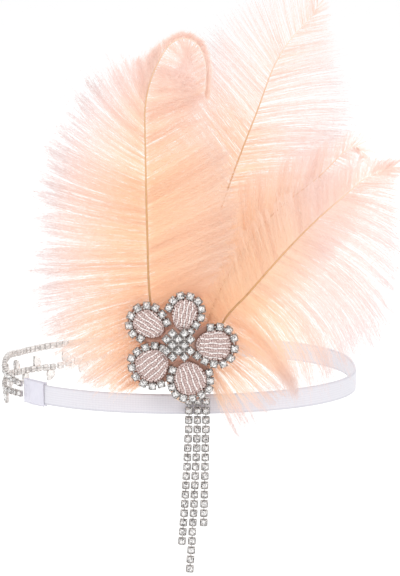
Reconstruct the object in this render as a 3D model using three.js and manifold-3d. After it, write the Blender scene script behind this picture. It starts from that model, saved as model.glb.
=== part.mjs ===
// A feather headband: a loop of white elastic closed by two rhinestone chains, with a beaded
// flower, four ostrich plumes and three hanging rhinestone strands on one side.
// Millimetres, +Z up. The origin is the middle of the head loop, halfway up the elastic.
// -Y is the side with the flower, and the rhinestone chains close the loop at -X.
import * as THREE from "three";
import { ConvexGeometry } from "three/addons/geometries/ConvexGeometry.js";
import { mergeVertices } from "three/addons/utils/BufferGeometryUtils.js";
import Module from "manifold-3d";

const wasm = await Module();
wasm.setup();

// Head loop, as the elastic's middle line seen from above
const LOOP_LENGTH = 179;
const LOOP_NEAR_DEPTH = 65;
const LOOP_FAR_DEPTH = 78;
const LOOP_NEAR_FULLNESS = 2.1;
const LOOP_FAR_FULLNESS = 2.6;
const LOOP_STEP = 6.5;

// Elastic and the ribbon folded over each of its ends
const BAND_HEIGHT = 10;
const BAND_THICKNESS = 1.2;
const TAB_THICKNESS = 1;
const TAB_LENGTH = 15;
const TAB_OVERHANG = 1.1;
const CHAIN_SPAN = 150; // stretch of the loop that the chains close
const NEAR_END_REACH = 90; // along the loop, from the flower to the elastic's near end

// Clearance between pieces that touch on the real headband
const SEAT_GAP = 0.3;

// Stones, set in square cups
const LARGE_STONE = { side: 3.75, cupDepth: 1.5, depth: 2.7, table: 0.5 };
const SMALL_STONE = { side: 3.3, cupDepth: 1.3, depth: 2.3, table: 0.5 };
const PEAR_STONE = { length: 6.4, width: 5.4, cupDepth: 1.2, depth: 2.4, table: 0.55 };
const LINK_RADIUS = 0.45;

// Forehead chains
const CHAIN_CLEAR = 1.5; // from each end of the elastic to the middle of a chain's end cup
const CUP_CHAIN_PITCH = 3.7;
const STEM_PITCH = 4.85;
const PEAR_EVERY = 2; // one pear for so many stones of the stem
const PEAR_LIFT = 4.4; // from the stem's line to the middle of a pear, whose round end meets the stem's cup
const PEAR_LEAN = 24; // degrees, towards the next pear

// Height of each chain's line, as a share of the elastic's height, from the far tab to the near one
const CUP_CHAIN_LINE = [
  { along: 0, rise: 0.41 },
  { along: 0.3, rise: 0.41 },
  { along: 0.42, rise: 0.44 },
  { along: 0.52, rise: 0.51 },
  { along: 0.63, rise: 0.71 },
  { along: 0.74, rise: 0.72 },
  { along: 0.8, rise: 0.62 },
  { along: 0.9, rise: 0.49 },
  { along: 1, rise: 0.37 },
];
const LEAF_CHAIN_LINE = [
  { along: 0, rise: -0.2 },
  { along: 0.32, rise: -0.77 },
  { along: 0.52, rise: -0.54 },
  { along: 0.63, rise: -0.28 },
  { along: 0.84, rise: -0.34 },
  { along: 1, rise: -0.16 },
];

// Felt patch behind the flower
const FELT_THICKNESS = 1.5;
const FELT_WIDTH = 21;
const FELT_HEIGHT = 34;
const FELT_OVERLAP = 4.2; // how far the patch reaches down over the elastic

// Flower
const FLOWER_SIDE = -2.1; // from the loop's middle
const FLOWER_RISE = 33.8; // from the elastic's middle line to the flower's middle
const FLOWER_REACH = 17.3; // from the flower's middle to a petal's middle
const PETAL_LENGTH = 15.7;
const PETAL_WIDTH = 12.7;
const PETAL_HEIGHT = 2;
const PETAL_EGG = 0.16; // how much wider the outer end is than the inner one
const PAD_PROFILE = [[0, 0], [1, 0], [0.94, 0.5], [0.6, 0.92], [0, 1]]; // radius and height as shares
const FABRIC_THICKNESS = 1;
const FABRIC_MARGIN = 3.5; // fabric beyond the bead field of each petal
const RIM_PITCH = 4.18;
const RIM_OFFSET = 2.38; // from a bead field's edge to the line of its rim's stones
const CENTRE_PITCH = 4.18;
const CENTRE_PAD = 0.3; // radius of the pad under the middle stones, as a share of FLOWER_REACH

// Petals: bearing and rim ends in degrees, reach, length and width as shares
const PETALS = [
  { name: "top", bearing: 78.6, reach: 0.86, length: 0.94, width: 0.87, rimFrom: 78, rimTo: -140 },
  { name: "upper_left", bearing: 145.9, reach: 1.02, length: 0.96, width: 0.94, rimFrom: 93, rimTo: -132 },
  { name: "lower_left", bearing: 219.4, reach: 0.965, length: 0.99, width: 1.18, rimFrom: 74, rimTo: -158 },
  { name: "bottom", bearing: 287.8, reach: 1.06, length: 1, width: 1.16, rimFrom: 89, rimTo: -130 },
  { name: "right", bearing: 357.5, reach: 1, length: 1.03, width: 1.1, rimFrom: 100, rimTo: -138 },
];

// Hanging strands: stones in each, and where the top and the foot hang
const STRAND_PITCH = 4.8;
const STRAND_SPREAD = 8.5; // between the outer strands' tops
const STRAND_SIDE = 7.5; // from the loop's middle to the middle strand's top
const STRAND_TOP = 2.2; // above the elastic's middle line
const STRAND_CURVE = 1.5; // power of the fall with which a strand drifts sideways
const STRANDS = [
  { name: "left", stones: 16, place: -0.5, drift: -0.05 },
  { name: "middle", stones: 19, place: 0, drift: -0.046 },
  { name: "right", stones: 14, place: 0.49, drift: -0.02 },
];

// Plumes
const PLUME_HEIGHT = 185; // the tallest, from its quill's foot
const QUILL_FOOT = 14; // above the elastic's middle line
const QUILL_SPACING = 5.1;
const QUILL_RADIUS = 0.9;
const QUILL_TIP_RADIUS = 0.35;
const BARB_LENGTH = 62.5;
const LOCK_THICKNESS = 1;
const LOCK_TIP_THICKNESS = 0.5;
const LOCK_NOTCH = 0.66; // how far out two locks are joined, as a share of their length
const DOWN_REACH = 0.04; // of the down that edges the bare quill, as a share of the first lock's length
const LOCK_LEAN = 0.68; // where a lock's tip lies between the two notches beside it
const LAYER_STEP = 2.2; // between plumes, front to back, where their locks begin
const LAYER_REACH = 20; // how far from the middle of their feet that is
const LAYER_SPREAD = 10; // how much more it is at the tallest tip
const FORWARD_CURL = 20; // how far the front plume curls forward by that height

// Spines and barbs as shares of a plume's height and of BARB_LENGTH, angles in degrees from the spine
const PLUMES = [
  {
    name: "plume_left", layer: 0, foot: -1.5, height: 0.936, locks: 16,
    spine: [
      { side: 0, up: 0 }, { side: -0.036, up: 0.12 }, { side: -0.059, up: 0.239 },
      { side: -0.067, up: 0.45 }, { side: -0.071, up: 0.68 }, { side: -0.071, up: 0.8 },
      { side: -0.058, up: 0.87 }, { side: -0.034, up: 0.93 }, { side: 0, up: 0.983 },
      { side: 0.036, up: 1 }, { side: 0.072, up: 0.986 }, { side: 0.095, up: 0.94 },
      { side: 0.1, up: 0.89 }, { side: 0.096, up: 0.84 },
    ],
    barbs: [
      { at: 0.1, left: 0.7, leftSweep: 116, leftBend: -24, right: 0.3, rightSweep: 70, rightBend: 0 },
      { at: 0.2, left: 0.84, leftSweep: 100, leftBend: -8, right: 0.55, rightSweep: 68, rightBend: 0 },
      { at: 0.32, left: 0.83, leftSweep: 88, leftBend: 4, right: 0.6, rightSweep: 66, rightBend: 0 },
      { at: 0.44, left: 0.82, leftSweep: 74, leftBend: 16, right: 0.58, rightSweep: 64, rightBend: 4 },
      { at: 0.54, left: 0.76, leftSweep: 60, leftBend: 20, right: 0.46, rightSweep: 62, rightBend: 4 },
      { at: 0.62, left: 0.6, leftSweep: 44, leftBend: 22, right: 0.34, rightSweep: 60, rightBend: 0 },
      { at: 0.7, left: 0.36, leftSweep: 26, leftBend: 10, right: 0.2, rightSweep: 66, rightBend: 0 },
      { at: 0.8, left: 0.14, leftSweep: 40, leftBend: 0, right: 0.1, rightSweep: 66, rightBend: 0 },
      { at: 1, left: 0.12, leftSweep: 36, leftBend: 0, right: 0.08, rightSweep: 40, rightBend: 0 },
    ],
  },
  {
    name: "plume_right", layer: 1, foot: 1.5, height: 0.582, locks: 15,
    spine: [
      { side: 0, up: 0 }, { side: 0.107, up: 0.286 }, { side: 0.213, up: 0.407 },
      { side: 0.387, up: 0.609 }, { side: 0.532, up: 0.76 }, { side: 0.676, up: 0.89 },
      { side: 0.731, up: 0.94 }, { side: 0.784, up: 0.969 }, { side: 0.863, up: 1 },
    ],
    barbs: [
      { at: 0.15, left: 0.2, leftSweep: 60, leftBend: 0, right: 0.5, rightSweep: 86, rightBend: -36 },
      { at: 0.24, left: 0.3, leftSweep: 60, leftBend: 0, right: 0.76, rightSweep: 84, rightBend: -46 },
      { at: 0.35, left: 0.4, leftSweep: 58, leftBend: 0, right: 0.96, rightSweep: 80, rightBend: -52 },
      { at: 0.55, left: 0.4, leftSweep: 56, leftBend: 4, right: 1.04, rightSweep: 70, rightBend: -46 },
      { at: 0.7, left: 0.32, leftSweep: 52, leftBend: 6, right: 0.72, rightSweep: 54, rightBend: -36 },
      { at: 0.84, left: 0.22, leftSweep: 48, leftBend: 4, right: 0.38, rightSweep: 50, rightBend: -10 },
      { at: 0.9, left: 0.16, leftSweep: 44, leftBend: 0, right: 0.22, rightSweep: 42, rightBend: 0 },
      { at: 1, left: 0.1, leftSweep: 18, leftBend: 0, right: 0.12, rightSweep: 18, rightBend: 0 },
    ],
  },
  {
    name: "plume_curl", layer: 2, foot: 0.5, height: 0.634, locks: 13,
    spine: [
      { side: 0, up: 0 }, { side: 0.102, up: 0.341 }, { side: 0.187, up: 0.505 },
      { side: 0.3, up: 0.664 }, { side: 0.413, up: 0.77 }, { side: 0.544, up: 0.877 },
      { side: 0.651, up: 0.983 }, { side: 0.684, up: 1 }, { side: 0.714, up: 0.983 },
      { side: 0.727, up: 0.94 },
    ],
    barbs: [
      { at: 0.2, left: 0.3, leftSweep: 54, leftBend: 6, right: 0.4, rightSweep: 62, rightBend: -10 },
      { at: 0.45, left: 0.48, leftSweep: 46, leftBend: 10, right: 0.6, rightSweep: 62, rightBend: -16 },
      { at: 0.68, left: 0.44, leftSweep: 40, leftBend: 4, right: 0.54, rightSweep: 60, rightBend: -24 },
      { at: 0.8, left: 0.34, leftSweep: 34, leftBend: -8, right: 0.42, rightSweep: 70, rightBend: -24 },
      { at: 0.88, left: 0.2, leftSweep: 34, leftBend: 0, right: 0.14, rightSweep: 70, rightBend: 0 },
      { at: 0.94, left: 0.14, leftSweep: 32, leftBend: 0, right: 0.04, rightSweep: 60, rightBend: 0 },
      { at: 1, left: 0.12, leftSweep: 24, leftBend: 0, right: 0.05, rightSweep: 50, rightBend: 0 },
    ],
  },
  {
    name: "plume_top", layer: 3, foot: -0.5, height: 1, locks: 17,
    spine: [
      { side: 0, up: 0 }, { side: 0.045, up: 0.24 }, { side: 0.111, up: 0.471 },
      { side: 0.159, up: 0.607 }, { side: 0.204, up: 0.723 }, { side: 0.252, up: 0.849 },
      { side: 0.297, up: 0.918 }, { side: 0.349, up: 0.974 }, { side: 0.364, up: 1 },
    ],
    barbs: [
      { at: 0.16, left: 0.42, leftSweep: 62, leftBend: 0, right: 0.4, rightSweep: 66, rightBend: -10 },
      { at: 0.35, left: 0.62, leftSweep: 60, leftBend: 0, right: 0.64, rightSweep: 64, rightBend: -10 },
      { at: 0.58, left: 0.68, leftSweep: 58, leftBend: 0, right: 0.82, rightSweep: 61, rightBend: -14 },
      { at: 0.69, left: 0.66, leftSweep: 62, leftBend: 0, right: 0.74, rightSweep: 58, rightBend: -14 },
      { at: 0.78, left: 0.54, leftSweep: 64, leftBend: 0, right: 0.54, rightSweep: 54, rightBend: -8 },
      { at: 0.86, left: 0.34, leftSweep: 50, leftBend: 4, right: 0.36, rightSweep: 44, rightBend: 0 },
      { at: 0.94, left: 0.19, leftSweep: 52, leftBend: 4, right: 0.2, rightSweep: 40, rightBend: 4 },
      { at: 1, left: 0.1, leftSweep: 14, leftBend: 0, right: 0.1, rightSweep: 18, rightBend: 0 },
    ],
  },
];

// Materials
const MATERIALS = {
  elastic: new THREE.MeshStandardMaterial({ color: 0xf0f0f7, roughness: 0.6, metalness: 0 }),
  ribbon: new THREE.MeshStandardMaterial({ color: 0xe4e4f0, roughness: 0.45, metalness: 0 }),
  felt: new THREE.MeshStandardMaterial({ color: 0xf4d9c8, roughness: 0.95, metalness: 0 }),
  petalFabric: new THREE.MeshStandardMaterial({ color: 0xd9a08a, roughness: 0.85, metalness: 0 }),
  beads: new THREE.MeshStandardMaterial({ color: 0xe3cdc9, roughness: 0.25, metalness: 0.2 }),
  rhinestone: new THREE.MeshStandardMaterial({ color: 0xd9dade, roughness: 0.1, metalness: 0.6 }),
  feather: new THREE.MeshStandardMaterial({ color: 0xfbd5b8, roughness: 0.9, metalness: 0 }),
};

// Solids

// A closed geometry as a manifold solid, from its positions alone.
function solidOf(geometry) {
  const bare = geometry.clone();
  bare.deleteAttribute("normal");
  bare.deleteAttribute("uv");
  const merged = mergeVertices(bare, 1e-4);
  return new wasm.Manifold(
    new wasm.Mesh({
      numProp: 3,
      vertProperties: merged.attributes.position.array,
      triVerts: new Uint32Array(merged.index.array),
    }),
  );
}

// A manifold solid as a geometry.
function geometryOf(solid) {
  const { vertProperties, triVerts } = solid.getMesh();
  const geometry = new THREE.BufferGeometry();
  geometry.setAttribute("position", new THREE.BufferAttribute(vertProperties, 3));
  geometry.setIndex(new THREE.BufferAttribute(triVerts, 1));
  return geometry;
}

// Several closed geometries joined into one.
function fuse(geometries) {
  return geometryOf(geometries.map(solidOf).reduce((joined, next) => joined.add(next)));
}

// Moves each corner of a geometry to where place puts it.
function deform(geometry, place) {
  const corners = geometry.attributes.position;
  const corner = new THREE.Vector3();
  for (let i = 0; i < corners.count; i += 1) {
    const { x, y, z } = place(corner.fromBufferAttribute(corners, i));
    corners.setXYZ(i, x, y, z);
  }
  return geometry;
}

// A named column of a table at a place along it, with straight lines between its rows.
function lookUp(table, key, at, column) {
  const next = table.findIndex((row) => row[key] >= at);
  if (next === 0) return table[0][column];
  if (next < 0) return table[table.length - 1][column];
  const [low, high] = [table[next - 1], table[next]];
  const share = (at - low[key]) / (high[key] - low[key]);
  return THREE.MathUtils.lerp(low[column], high[column], share);
}

// Head loop

// The elastic's middle line, counter-clockwise from the flower: two half superellipses.
class HeadLoop extends THREE.Curve {
  getPoint(share, target = new THREE.Vector3()) {
    const angle = 2 * Math.PI * (share - 0.25);
    const near = Math.sin(angle) < 0;
    const power = 2 / (near ? LOOP_NEAR_FULLNESS : LOOP_FAR_FULLNESS);
    const depth = near ? LOOP_NEAR_DEPTH : LOOP_FAR_DEPTH;
    const curved = (value) => Math.sign(value) * Math.abs(value) ** power;
    return target.set((LOOP_LENGTH / 2) * curved(Math.cos(angle)), depth * curved(Math.sin(angle)), 0);
  }
}

const headLoop = new HeadLoop();
headLoop.arcLengthDivisions = 720;
const loopGirth = headLoop.getLength();

// The place and directions of the loop at a distance along it from the flower.
function onLoop(distance) {
  const share = THREE.MathUtils.euclideanModulo(distance / loopGirth, 1);
  const point = headLoop.getPointAt(share);
  const along = headLoop.getTangentAt(share);
  return { point, along, outward: new THREE.Vector3(along.y, -along.x, 0) };
}

// A wall that follows the loop, between two offsets from it and two heights.
function loopWall({ from, to, inner, outer, low, high }) {
  const steps = Math.max(2, Math.round((to - from) / LOOP_STEP));
  return deform(new THREE.BoxGeometry(1, 1, 1, steps, 1, 1), (corner) => {
    const { point, outward } = onLoop(THREE.MathUtils.lerp(from, to, corner.x + 0.5));
    point.addScaledVector(outward, THREE.MathUtils.lerp(outer, inner, corner.y + 0.5));
    return point.setZ(THREE.MathUtils.lerp(low, high, corner.z + 0.5));
  });
}

const bandFrom = -NEAR_END_REACH;
const bandTo = loopGirth - NEAR_END_REACH - CHAIN_SPAN;
const bandOuter = BAND_THICKNESS / 2;
const tabInnerFace = bandOuter + SEAT_GAP;
const tabOuterFace = tabInnerFace + TAB_THICKNESS;
const tabHalfHeight = BAND_HEIGHT / 2 + TAB_OVERHANG;

function elasticBand() {
  return loopWall({
    from: bandFrom, to: bandTo,
    inner: -bandOuter, outer: bandOuter, low: -BAND_HEIGHT / 2, high: BAND_HEIGHT / 2,
  });
}

// Ribbon folded over an end of the elastic: two plies and the fold that joins them.
function endTab(bandEnd, towardsBand) {
  const reach = (distance) => bandEnd + towardsBand * distance;
  const span = (a, b) => ({ from: Math.min(a, b), to: Math.max(a, b) });
  const fold = loopWall({
    ...span(reach(-SEAT_GAP - TAB_THICKNESS), reach(TAB_LENGTH)),
    inner: -tabOuterFace, outer: tabOuterFace, low: -tabHalfHeight, high: tabHalfHeight,
  });
  const pocket = loopWall({
    ...span(reach(-SEAT_GAP), reach(TAB_LENGTH + TAB_THICKNESS)),
    inner: -tabInnerFace, outer: tabInnerFace, low: -2 * tabHalfHeight, high: 2 * tabHalfHeight,
  });
  return geometryOf(solidOf(fold).subtract(solidOf(pocket)));
}

// Stones: x runs along the string, y across it, and z out of the cup

// Corners of a square, turned by some degrees.
function squareCorners(side, height, turn = 0) {
  return [45, 135, 225, 315].map((bearing) => {
    const angle = THREE.MathUtils.degToRad(bearing + turn);
    const corner = new THREE.Vector3(Math.cos(angle), Math.sin(angle), 0);
    return corner.multiplyScalar(side / Math.SQRT2).setZ(height);
  });
}

// A square cup whose stone rises from its edge in eight facets to a table turned by 45 degrees.
function squareStone({ side, cupDepth, depth, table }) {
  return new ConvexGeometry([
    ...squareCorners(side, 0),
    ...squareCorners(side, cupDepth),
    ...squareCorners(side * table * Math.SQRT2, depth, 45),
  ]);
}

// A pear-shaped cup and stone, with its point along +x.
function pearStone({ length, width, cupDepth, depth, table }) {
  const round = width / 2;
  const back = length / 2 - round; // the round end's middle lies this far behind the pear's
  const bearings = [60, 100, 140, 180, 220, 260, 300];
  const outline = (share, height) => [
    new THREE.Vector3((length / 2) * share, 0, height),
    ...bearings.map((bearing) => {
      const angle = THREE.MathUtils.degToRad(bearing);
      const [x, y] = [round * Math.cos(angle) - back, round * Math.sin(angle)];
      return new THREE.Vector3(x * share, y * share, height);
    }),
  ];
  return new ConvexGeometry([...outline(1, 0), ...outline(1, cupDepth), ...outline(table, depth)]);
}

// Puts a geometry in a place whose x, y and z directions are given.
function placed(geometry, origin, along, across, outward) {
  return geometry.applyMatrix4(new THREE.Matrix4().makeBasis(along, across, outward).setPosition(origin));
}

// A three-sided wire from one cup to the next, close to their backs.
function link(from, to, outward) {
  const along = to.clone().sub(from);
  const wire = new THREE.CylinderGeometry(LINK_RADIUS, LINK_RADIUS, along.length(), 3);
  along.normalize();
  const across = along.clone().cross(outward).normalize();
  const up = across.clone().cross(along);
  return placed(wire, from.clone().lerp(to, 0.5).addScaledVector(up, LINK_RADIUS), across, along, up);
}

// A string of cups at given seats, each with its point, along and outward directions, and the links between.
function stoneString(seats, stone) {
  const cups = seats.map(({ point, along, outward }) =>
    placed(squareStone(stone), point, along, outward.clone().cross(along), outward),
  );
  const links = seats.slice(1).map((seat, i) => link(seats[i].point, seat.point, seat.outward));
  return [...cups, ...links];
}

// Forehead chains

const chainFrom = bandTo + CHAIN_CLEAR;
const chainTo = loopGirth + bandFrom - CHAIN_CLEAR;
const chainBack = tabOuterFace + SEAT_GAP;

// Seats along the rhinestone stretch of the loop, at the heights that a table gives.
function chainSeats(line, pitch) {
  const count = Math.floor((chainTo - chainFrom) / pitch);
  return Array.from({ length: count + 1 }, (_, i) => {
    const along = i / count;
    const { point, along: direction, outward } = onLoop(THREE.MathUtils.lerp(chainFrom, chainTo, along));
    point.addScaledVector(outward, chainBack).setZ(BAND_HEIGHT * lookUp(line, "along", along, "rise"));
    return { point, along: direction, outward };
  });
}

function cupChain() {
  return fuse(stoneString(chainSeats(CUP_CHAIN_LINE, CUP_CHAIN_PITCH), SMALL_STONE));
}

// A stem of small stones with pears that stand off it, by turns above it and below.
// The upper ones are left out where the other chain is too close.
function leafChain() {
  const seats = chainSeats(LEAF_CHAIN_LINE, STEM_PITCH);
  const reach = PEAR_LIFT + (PEAR_STONE.length + SMALL_STONE.side) / 2 + SEAT_GAP;
  const rise = (line, along) => BAND_HEIGHT * lookUp(line, "along", along, "rise");
  const room = (along) => rise(CUP_CHAIN_LINE, along) - rise(LEAF_CHAIN_LINE, along);
  const pears = seats.slice(0, -1).flatMap(({ point, along, outward }, i) => {
    const side = (i / PEAR_EVERY) % 2 ? -1 : 1;
    if (i % PEAR_EVERY || (side > 0 && room(i / (seats.length - 1)) < reach)) return [];
    const direction = new THREE.Vector3(0, 0, side);
    direction.applyAxisAngle(outward, THREE.MathUtils.degToRad(-side * PEAR_LEAN));
    const middle = point.clone().addScaledVector(direction, PEAR_LIFT);
    return [placed(pearStone(PEAR_STONE), middle, direction, outward.clone().cross(direction), outward)];
  });
  return fuse([...stoneString(seats, SMALL_STONE), ...pears]);
}

// Plumes

// All quills are stuck to the felt at their feet. Further out they fan apart in depth, with layer 0 in front.
const feltFront = LOOP_NEAR_DEPTH + bandOuter + SEAT_GAP + FELT_THICKNESS;
const backLayer = PLUMES.length - 1;
const feetSpread = (backLayer / 2) * QUILL_SPACING;
const plumeRootSide = (FLOWER_SIDE + STRAND_SIDE) / 3;

// Depth of a plume at a place in the XZ plane
function plumeDepth(layer, x, z) {
  const reach = Math.hypot(x - plumeRootSide, z - QUILL_FOOT);
  const apart = THREE.MathUtils.clamp((reach - feetSpread) / (LAYER_REACH - feetSpread), 0, 1);
  const forward = FORWARD_CURL - LAYER_SPREAD * layer;
  const foot = -(feltFront + SEAT_GAP + QUILL_RADIUS);
  return foot - apart * LAYER_STEP * (backLayer - layer) - forward * (reach / PLUME_HEIGHT) ** 2;
}

// A plume's spine as a curve in the XZ plane.
function spineOf({ foot, height, spine }) {
  const tall = height * PLUME_HEIGHT;
  const side = plumeRootSide + foot * QUILL_SPACING;
  return new THREE.CatmullRomCurve3(
    spine.map((row) => new THREE.Vector3(side + row.side * tall, 0, QUILL_FOOT + row.up * tall)),
    false, "centripetal",
  );
}

// Columns of a plume's sheet: the middle of each vane and its ends on one side and the other of the quill.
const PLUME_COLUMNS = [
  { side: "left", out: 1 }, { side: "left", out: 0.5 }, { side: "left", out: 0 },
  { side: "right", out: 0 }, { side: "right", out: 0.5 }, { side: "right", out: 1 },
];

// Rows of a plume's sheet: the quill's foot, then a notch and a tip for each lock.
function plumeRows({ barbs, locks }) {
  const first = barbs[0].at;
  const rows = [{ at: 0, reach: DOWN_REACH }, { at: first / 2, reach: DOWN_REACH }];
  for (let i = 0; i < locks; i += 1) {
    const place = (share) => THREE.MathUtils.lerp(first, 1, (i + share) / locks);
    rows.push({ at: place(0), reach: LOCK_NOTCH }, { at: place(LOCK_LEAN), reach: 1 });
  }
  return [...rows, { at: 1, reach: LOCK_NOTCH }];
}

// A plume: a sheet with the quill as its ridge, whose outer edges are cut into locks of barbs.
function plumeGeometry(plume) {
  const spine = spineOf(plume);
  const rows = plumeRows(plume);
  const sheet = new THREE.BoxGeometry(1, 1, 1, PLUME_COLUMNS.length - 1, 1, rows.length - 1);
  return deform(sheet, (corner) => {
    const { at, reach } = rows[Math.round((corner.z + 0.5) * (rows.length - 1))];
    const { side, out } = PLUME_COLUMNS[Math.round((corner.x + 0.5) * (PLUME_COLUMNS.length - 1))];
    const turn = side === "left" ? 1 : -1;
    const column = (name) => lookUp(plume.barbs, "at", at, side + name);
    const along = spine.getTangentAt(at);
    const radius = THREE.MathUtils.lerp(QUILL_RADIUS, QUILL_TIP_RADIUS, at);
    const across = new THREE.Vector3(-along.z, 0, along.x);
    const root = spine.getPointAt(at).addScaledVector(across, turn * radius);
    const share = out < 1 ? out * Math.min(reach / LOCK_NOTCH, 1) : reach;
    const length = share * column("") * BARB_LENGTH;
    const half = turn * THREE.MathUtils.degToRad(-column("Bend") * share) / 2;
    const angle = Math.atan2(along.z, along.x) + turn * THREE.MathUtils.degToRad(column("Sweep")) + half;
    const x = root.x + length * Math.cos(angle);
    const z = root.z + length * Math.sin(angle);
    const vane = out < 1 ? LOCK_THICKNESS : LOCK_TIP_THICKNESS;
    const thickness = length ? vane : 2 * radius;
    return { x, y: plumeDepth(plume.layer, x, z) + corner.y * thickness, z };
  });
}

// Felt patch: an upright oval on the elastic's outer face
function feltPatch() {
  const oval = new THREE.Shape().absellipse(0, 0, FELT_WIDTH / 2, FELT_HEIGHT / 2, 0, 2 * Math.PI);
  const cut = { depth: FELT_THICKNESS, bevelEnabled: false, curveSegments: 10 };
  const patch = new THREE.ExtrudeGeometry(oval, cut);
  const rise = BAND_HEIGHT / 2 - FELT_OVERLAP + FELT_HEIGHT / 2;
  return patch.rotateX(Math.PI / 2).translate(plumeRootSide, FELT_THICKNESS - feltFront, rise);
}

// Flower, in its own frame: x to the right, y up and z towards the viewer

const flowerTop = FLOWER_RISE + FLOWER_REACH + PETAL_LENGTH;
const fabricBack = -plumeDepth(0, FLOWER_SIDE, flowerTop) + QUILL_RADIUS + SEAT_GAP;
const petalBase = FABRIC_THICKNESS + SEAT_GAP;

// The turn and place of a petal, whose own x axis points outwards.
function petalMatrix({ bearing, reach }) {
  const angle = THREE.MathUtils.degToRad(bearing);
  const turn = new THREE.Matrix4().makeRotationZ(angle);
  return turn.setPosition(reach * FLOWER_REACH * Math.cos(angle), reach * FLOWER_REACH * Math.sin(angle), 0);
}

const petalHalfLength = ({ length }) => (length * PETAL_LENGTH) / 2;
const petalHalfWidth = ({ width }) => (width * PETAL_WIDTH) / 2;

// Makes an oval wider at its outer end, as an egg is.
function egg(point, halfLength) {
  point.y *= 1 + PETAL_EGG * THREE.MathUtils.clamp(point.x / halfLength, -1, 1);
  return point;
}

// The padded field of beads in a petal: a low dome on an egg-shaped outline.
function petalPad(petal) {
  const profile = PAD_PROFILE.map(([radius, height]) => new THREE.Vector2(radius, height));
  const dome = new THREE.LatheGeometry(profile, 14).rotateX(Math.PI / 2).scale(1, -1, 1);
  const facesOut = dome.clone();
  facesOut.index.array.reverse();
  const [halfLength, halfWidth] = [petalHalfLength(petal), petalHalfWidth(petal)];
  deform(facesOut, (corner) => {
    corner.set(corner.x * halfLength, corner.y * halfWidth, petalBase + corner.z * PETAL_HEIGHT);
    return egg(corner, halfLength);
  });
  return facesOut.applyMatrix4(petalMatrix(petal));
}

// The rim: a string of stones round the outer part of a petal.
function petalRim(petal) {
  const [halfLength, halfWidth] = [petalHalfLength(petal) + RIM_OFFSET, petalHalfWidth(petal) + RIM_OFFSET];
  const ends = [petal.rimTo, petal.rimFrom].map(THREE.MathUtils.degToRad);
  const oval = new THREE.EllipseCurve(0, 0, halfLength, halfWidth, ...ends, false);
  const count = Math.floor(oval.getLength() / RIM_PITCH);
  const matrix = petalMatrix(petal);
  const outward = new THREE.Vector3(0, 0, 1);
  const points = oval.getSpacedPoints(count).map(({ x, y }) =>
    egg(new THREE.Vector3(x, y, petalBase), halfLength).applyMatrix4(matrix),
  );
  const seats = points.map((point, i) => {
    const [before, after] = [points[Math.max(i - 1, 0)], points[Math.min(i + 1, count)]];
    return { point, along: after.clone().sub(before).normalize(), outward };
  });
  return fuse(stoneString(seats, LARGE_STONE));
}

// The coloured fabric under the petals: an oval for each, joined over the middle.
function petalFabric() {
  const cut = { depth: FABRIC_THICKNESS, bevelEnabled: false, curveSegments: 8 };
  const shapes = PETALS.map((petal) => {
    const shape = new THREE.Shape();
    const halfLength = petalHalfLength(petal) + FABRIC_MARGIN;
    const halfWidth = petalHalfWidth(petal) + FABRIC_MARGIN;
    shape.absellipse(0, 0, halfLength, halfWidth, 0, 2 * Math.PI);
    return new THREE.ExtrudeGeometry(shape, cut).applyMatrix4(petalMatrix(petal));
  });
  const middle = new THREE.CylinderGeometry(FLOWER_REACH / 2, FLOWER_REACH / 2, FABRIC_THICKNESS, 12);
  return fuse([...shapes, middle.rotateX(Math.PI / 2).translate(0, 0, FABRIC_THICKNESS / 2)]);
}

// The middle: a four by four lattice of stones without its corners, on a pad that lifts it over the rims.
function flowerCentre() {
  const lift = LARGE_STONE.depth + SEAT_GAP;
  const places = [-1.5, -0.5, 0.5, 1.5];
  const diagonal = Math.SQRT1_2;
  const [right, up] = [new THREE.Vector3(diagonal, diagonal, 0), new THREE.Vector3(-diagonal, diagonal, 0)];
  const outward = new THREE.Vector3(0, 0, 1);
  const stones = places.flatMap((column) =>
    places
      .filter((row) => Math.abs(row) + Math.abs(column) < 3)
      .map((row) => {
        const seat = right.clone().multiplyScalar(column * CENTRE_PITCH);
        seat.addScaledVector(up, row * CENTRE_PITCH).setZ(petalBase + lift);
        return placed(squareStone(LARGE_STONE), seat, right, up, outward);
      }),
  );
  const padRadius = CENTRE_PAD * FLOWER_REACH;
  const pad = new THREE.CylinderGeometry(padRadius, padRadius, lift + LINK_RADIUS, 12);
  pad.rotateX(Math.PI / 2).translate(0, 0, petalBase + (lift + LINK_RADIUS) / 2);
  return fuse([pad, ...stones]);
}

// Hanging strands: their backs lie just in front of the felt
function strand({ stones, place, drift }) {
  const outward = new THREE.Vector3(0, -1, 0);
  const top = new THREE.Vector3(STRAND_SIDE + place * STRAND_SPREAD, -(feltFront + SEAT_GAP), STRAND_TOP);
  const length = STRAND_PITCH * (stones - 1);
  const seats = Array.from({ length: stones }, (_, i) => {
    const fall = (i * STRAND_PITCH) / length;
    const [x, z] = [drift * length * fall ** STRAND_CURVE, -STRAND_PITCH * i];
    const point = top.clone().add(new THREE.Vector3(x, 0, z));
    const along = new THREE.Vector3(STRAND_CURVE * drift * fall ** (STRAND_CURVE - 1), 0, -1).normalize();
    return { point, along, outward };
  });
  return fuse(stoneString(seats, LARGE_STONE));
}

// Assembly

function mesh(name, geometry, material) {
  geometry.computeVertexNormals();
  const made = new THREE.Mesh(geometry, material);
  made.name = name;
  return made;
}

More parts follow.
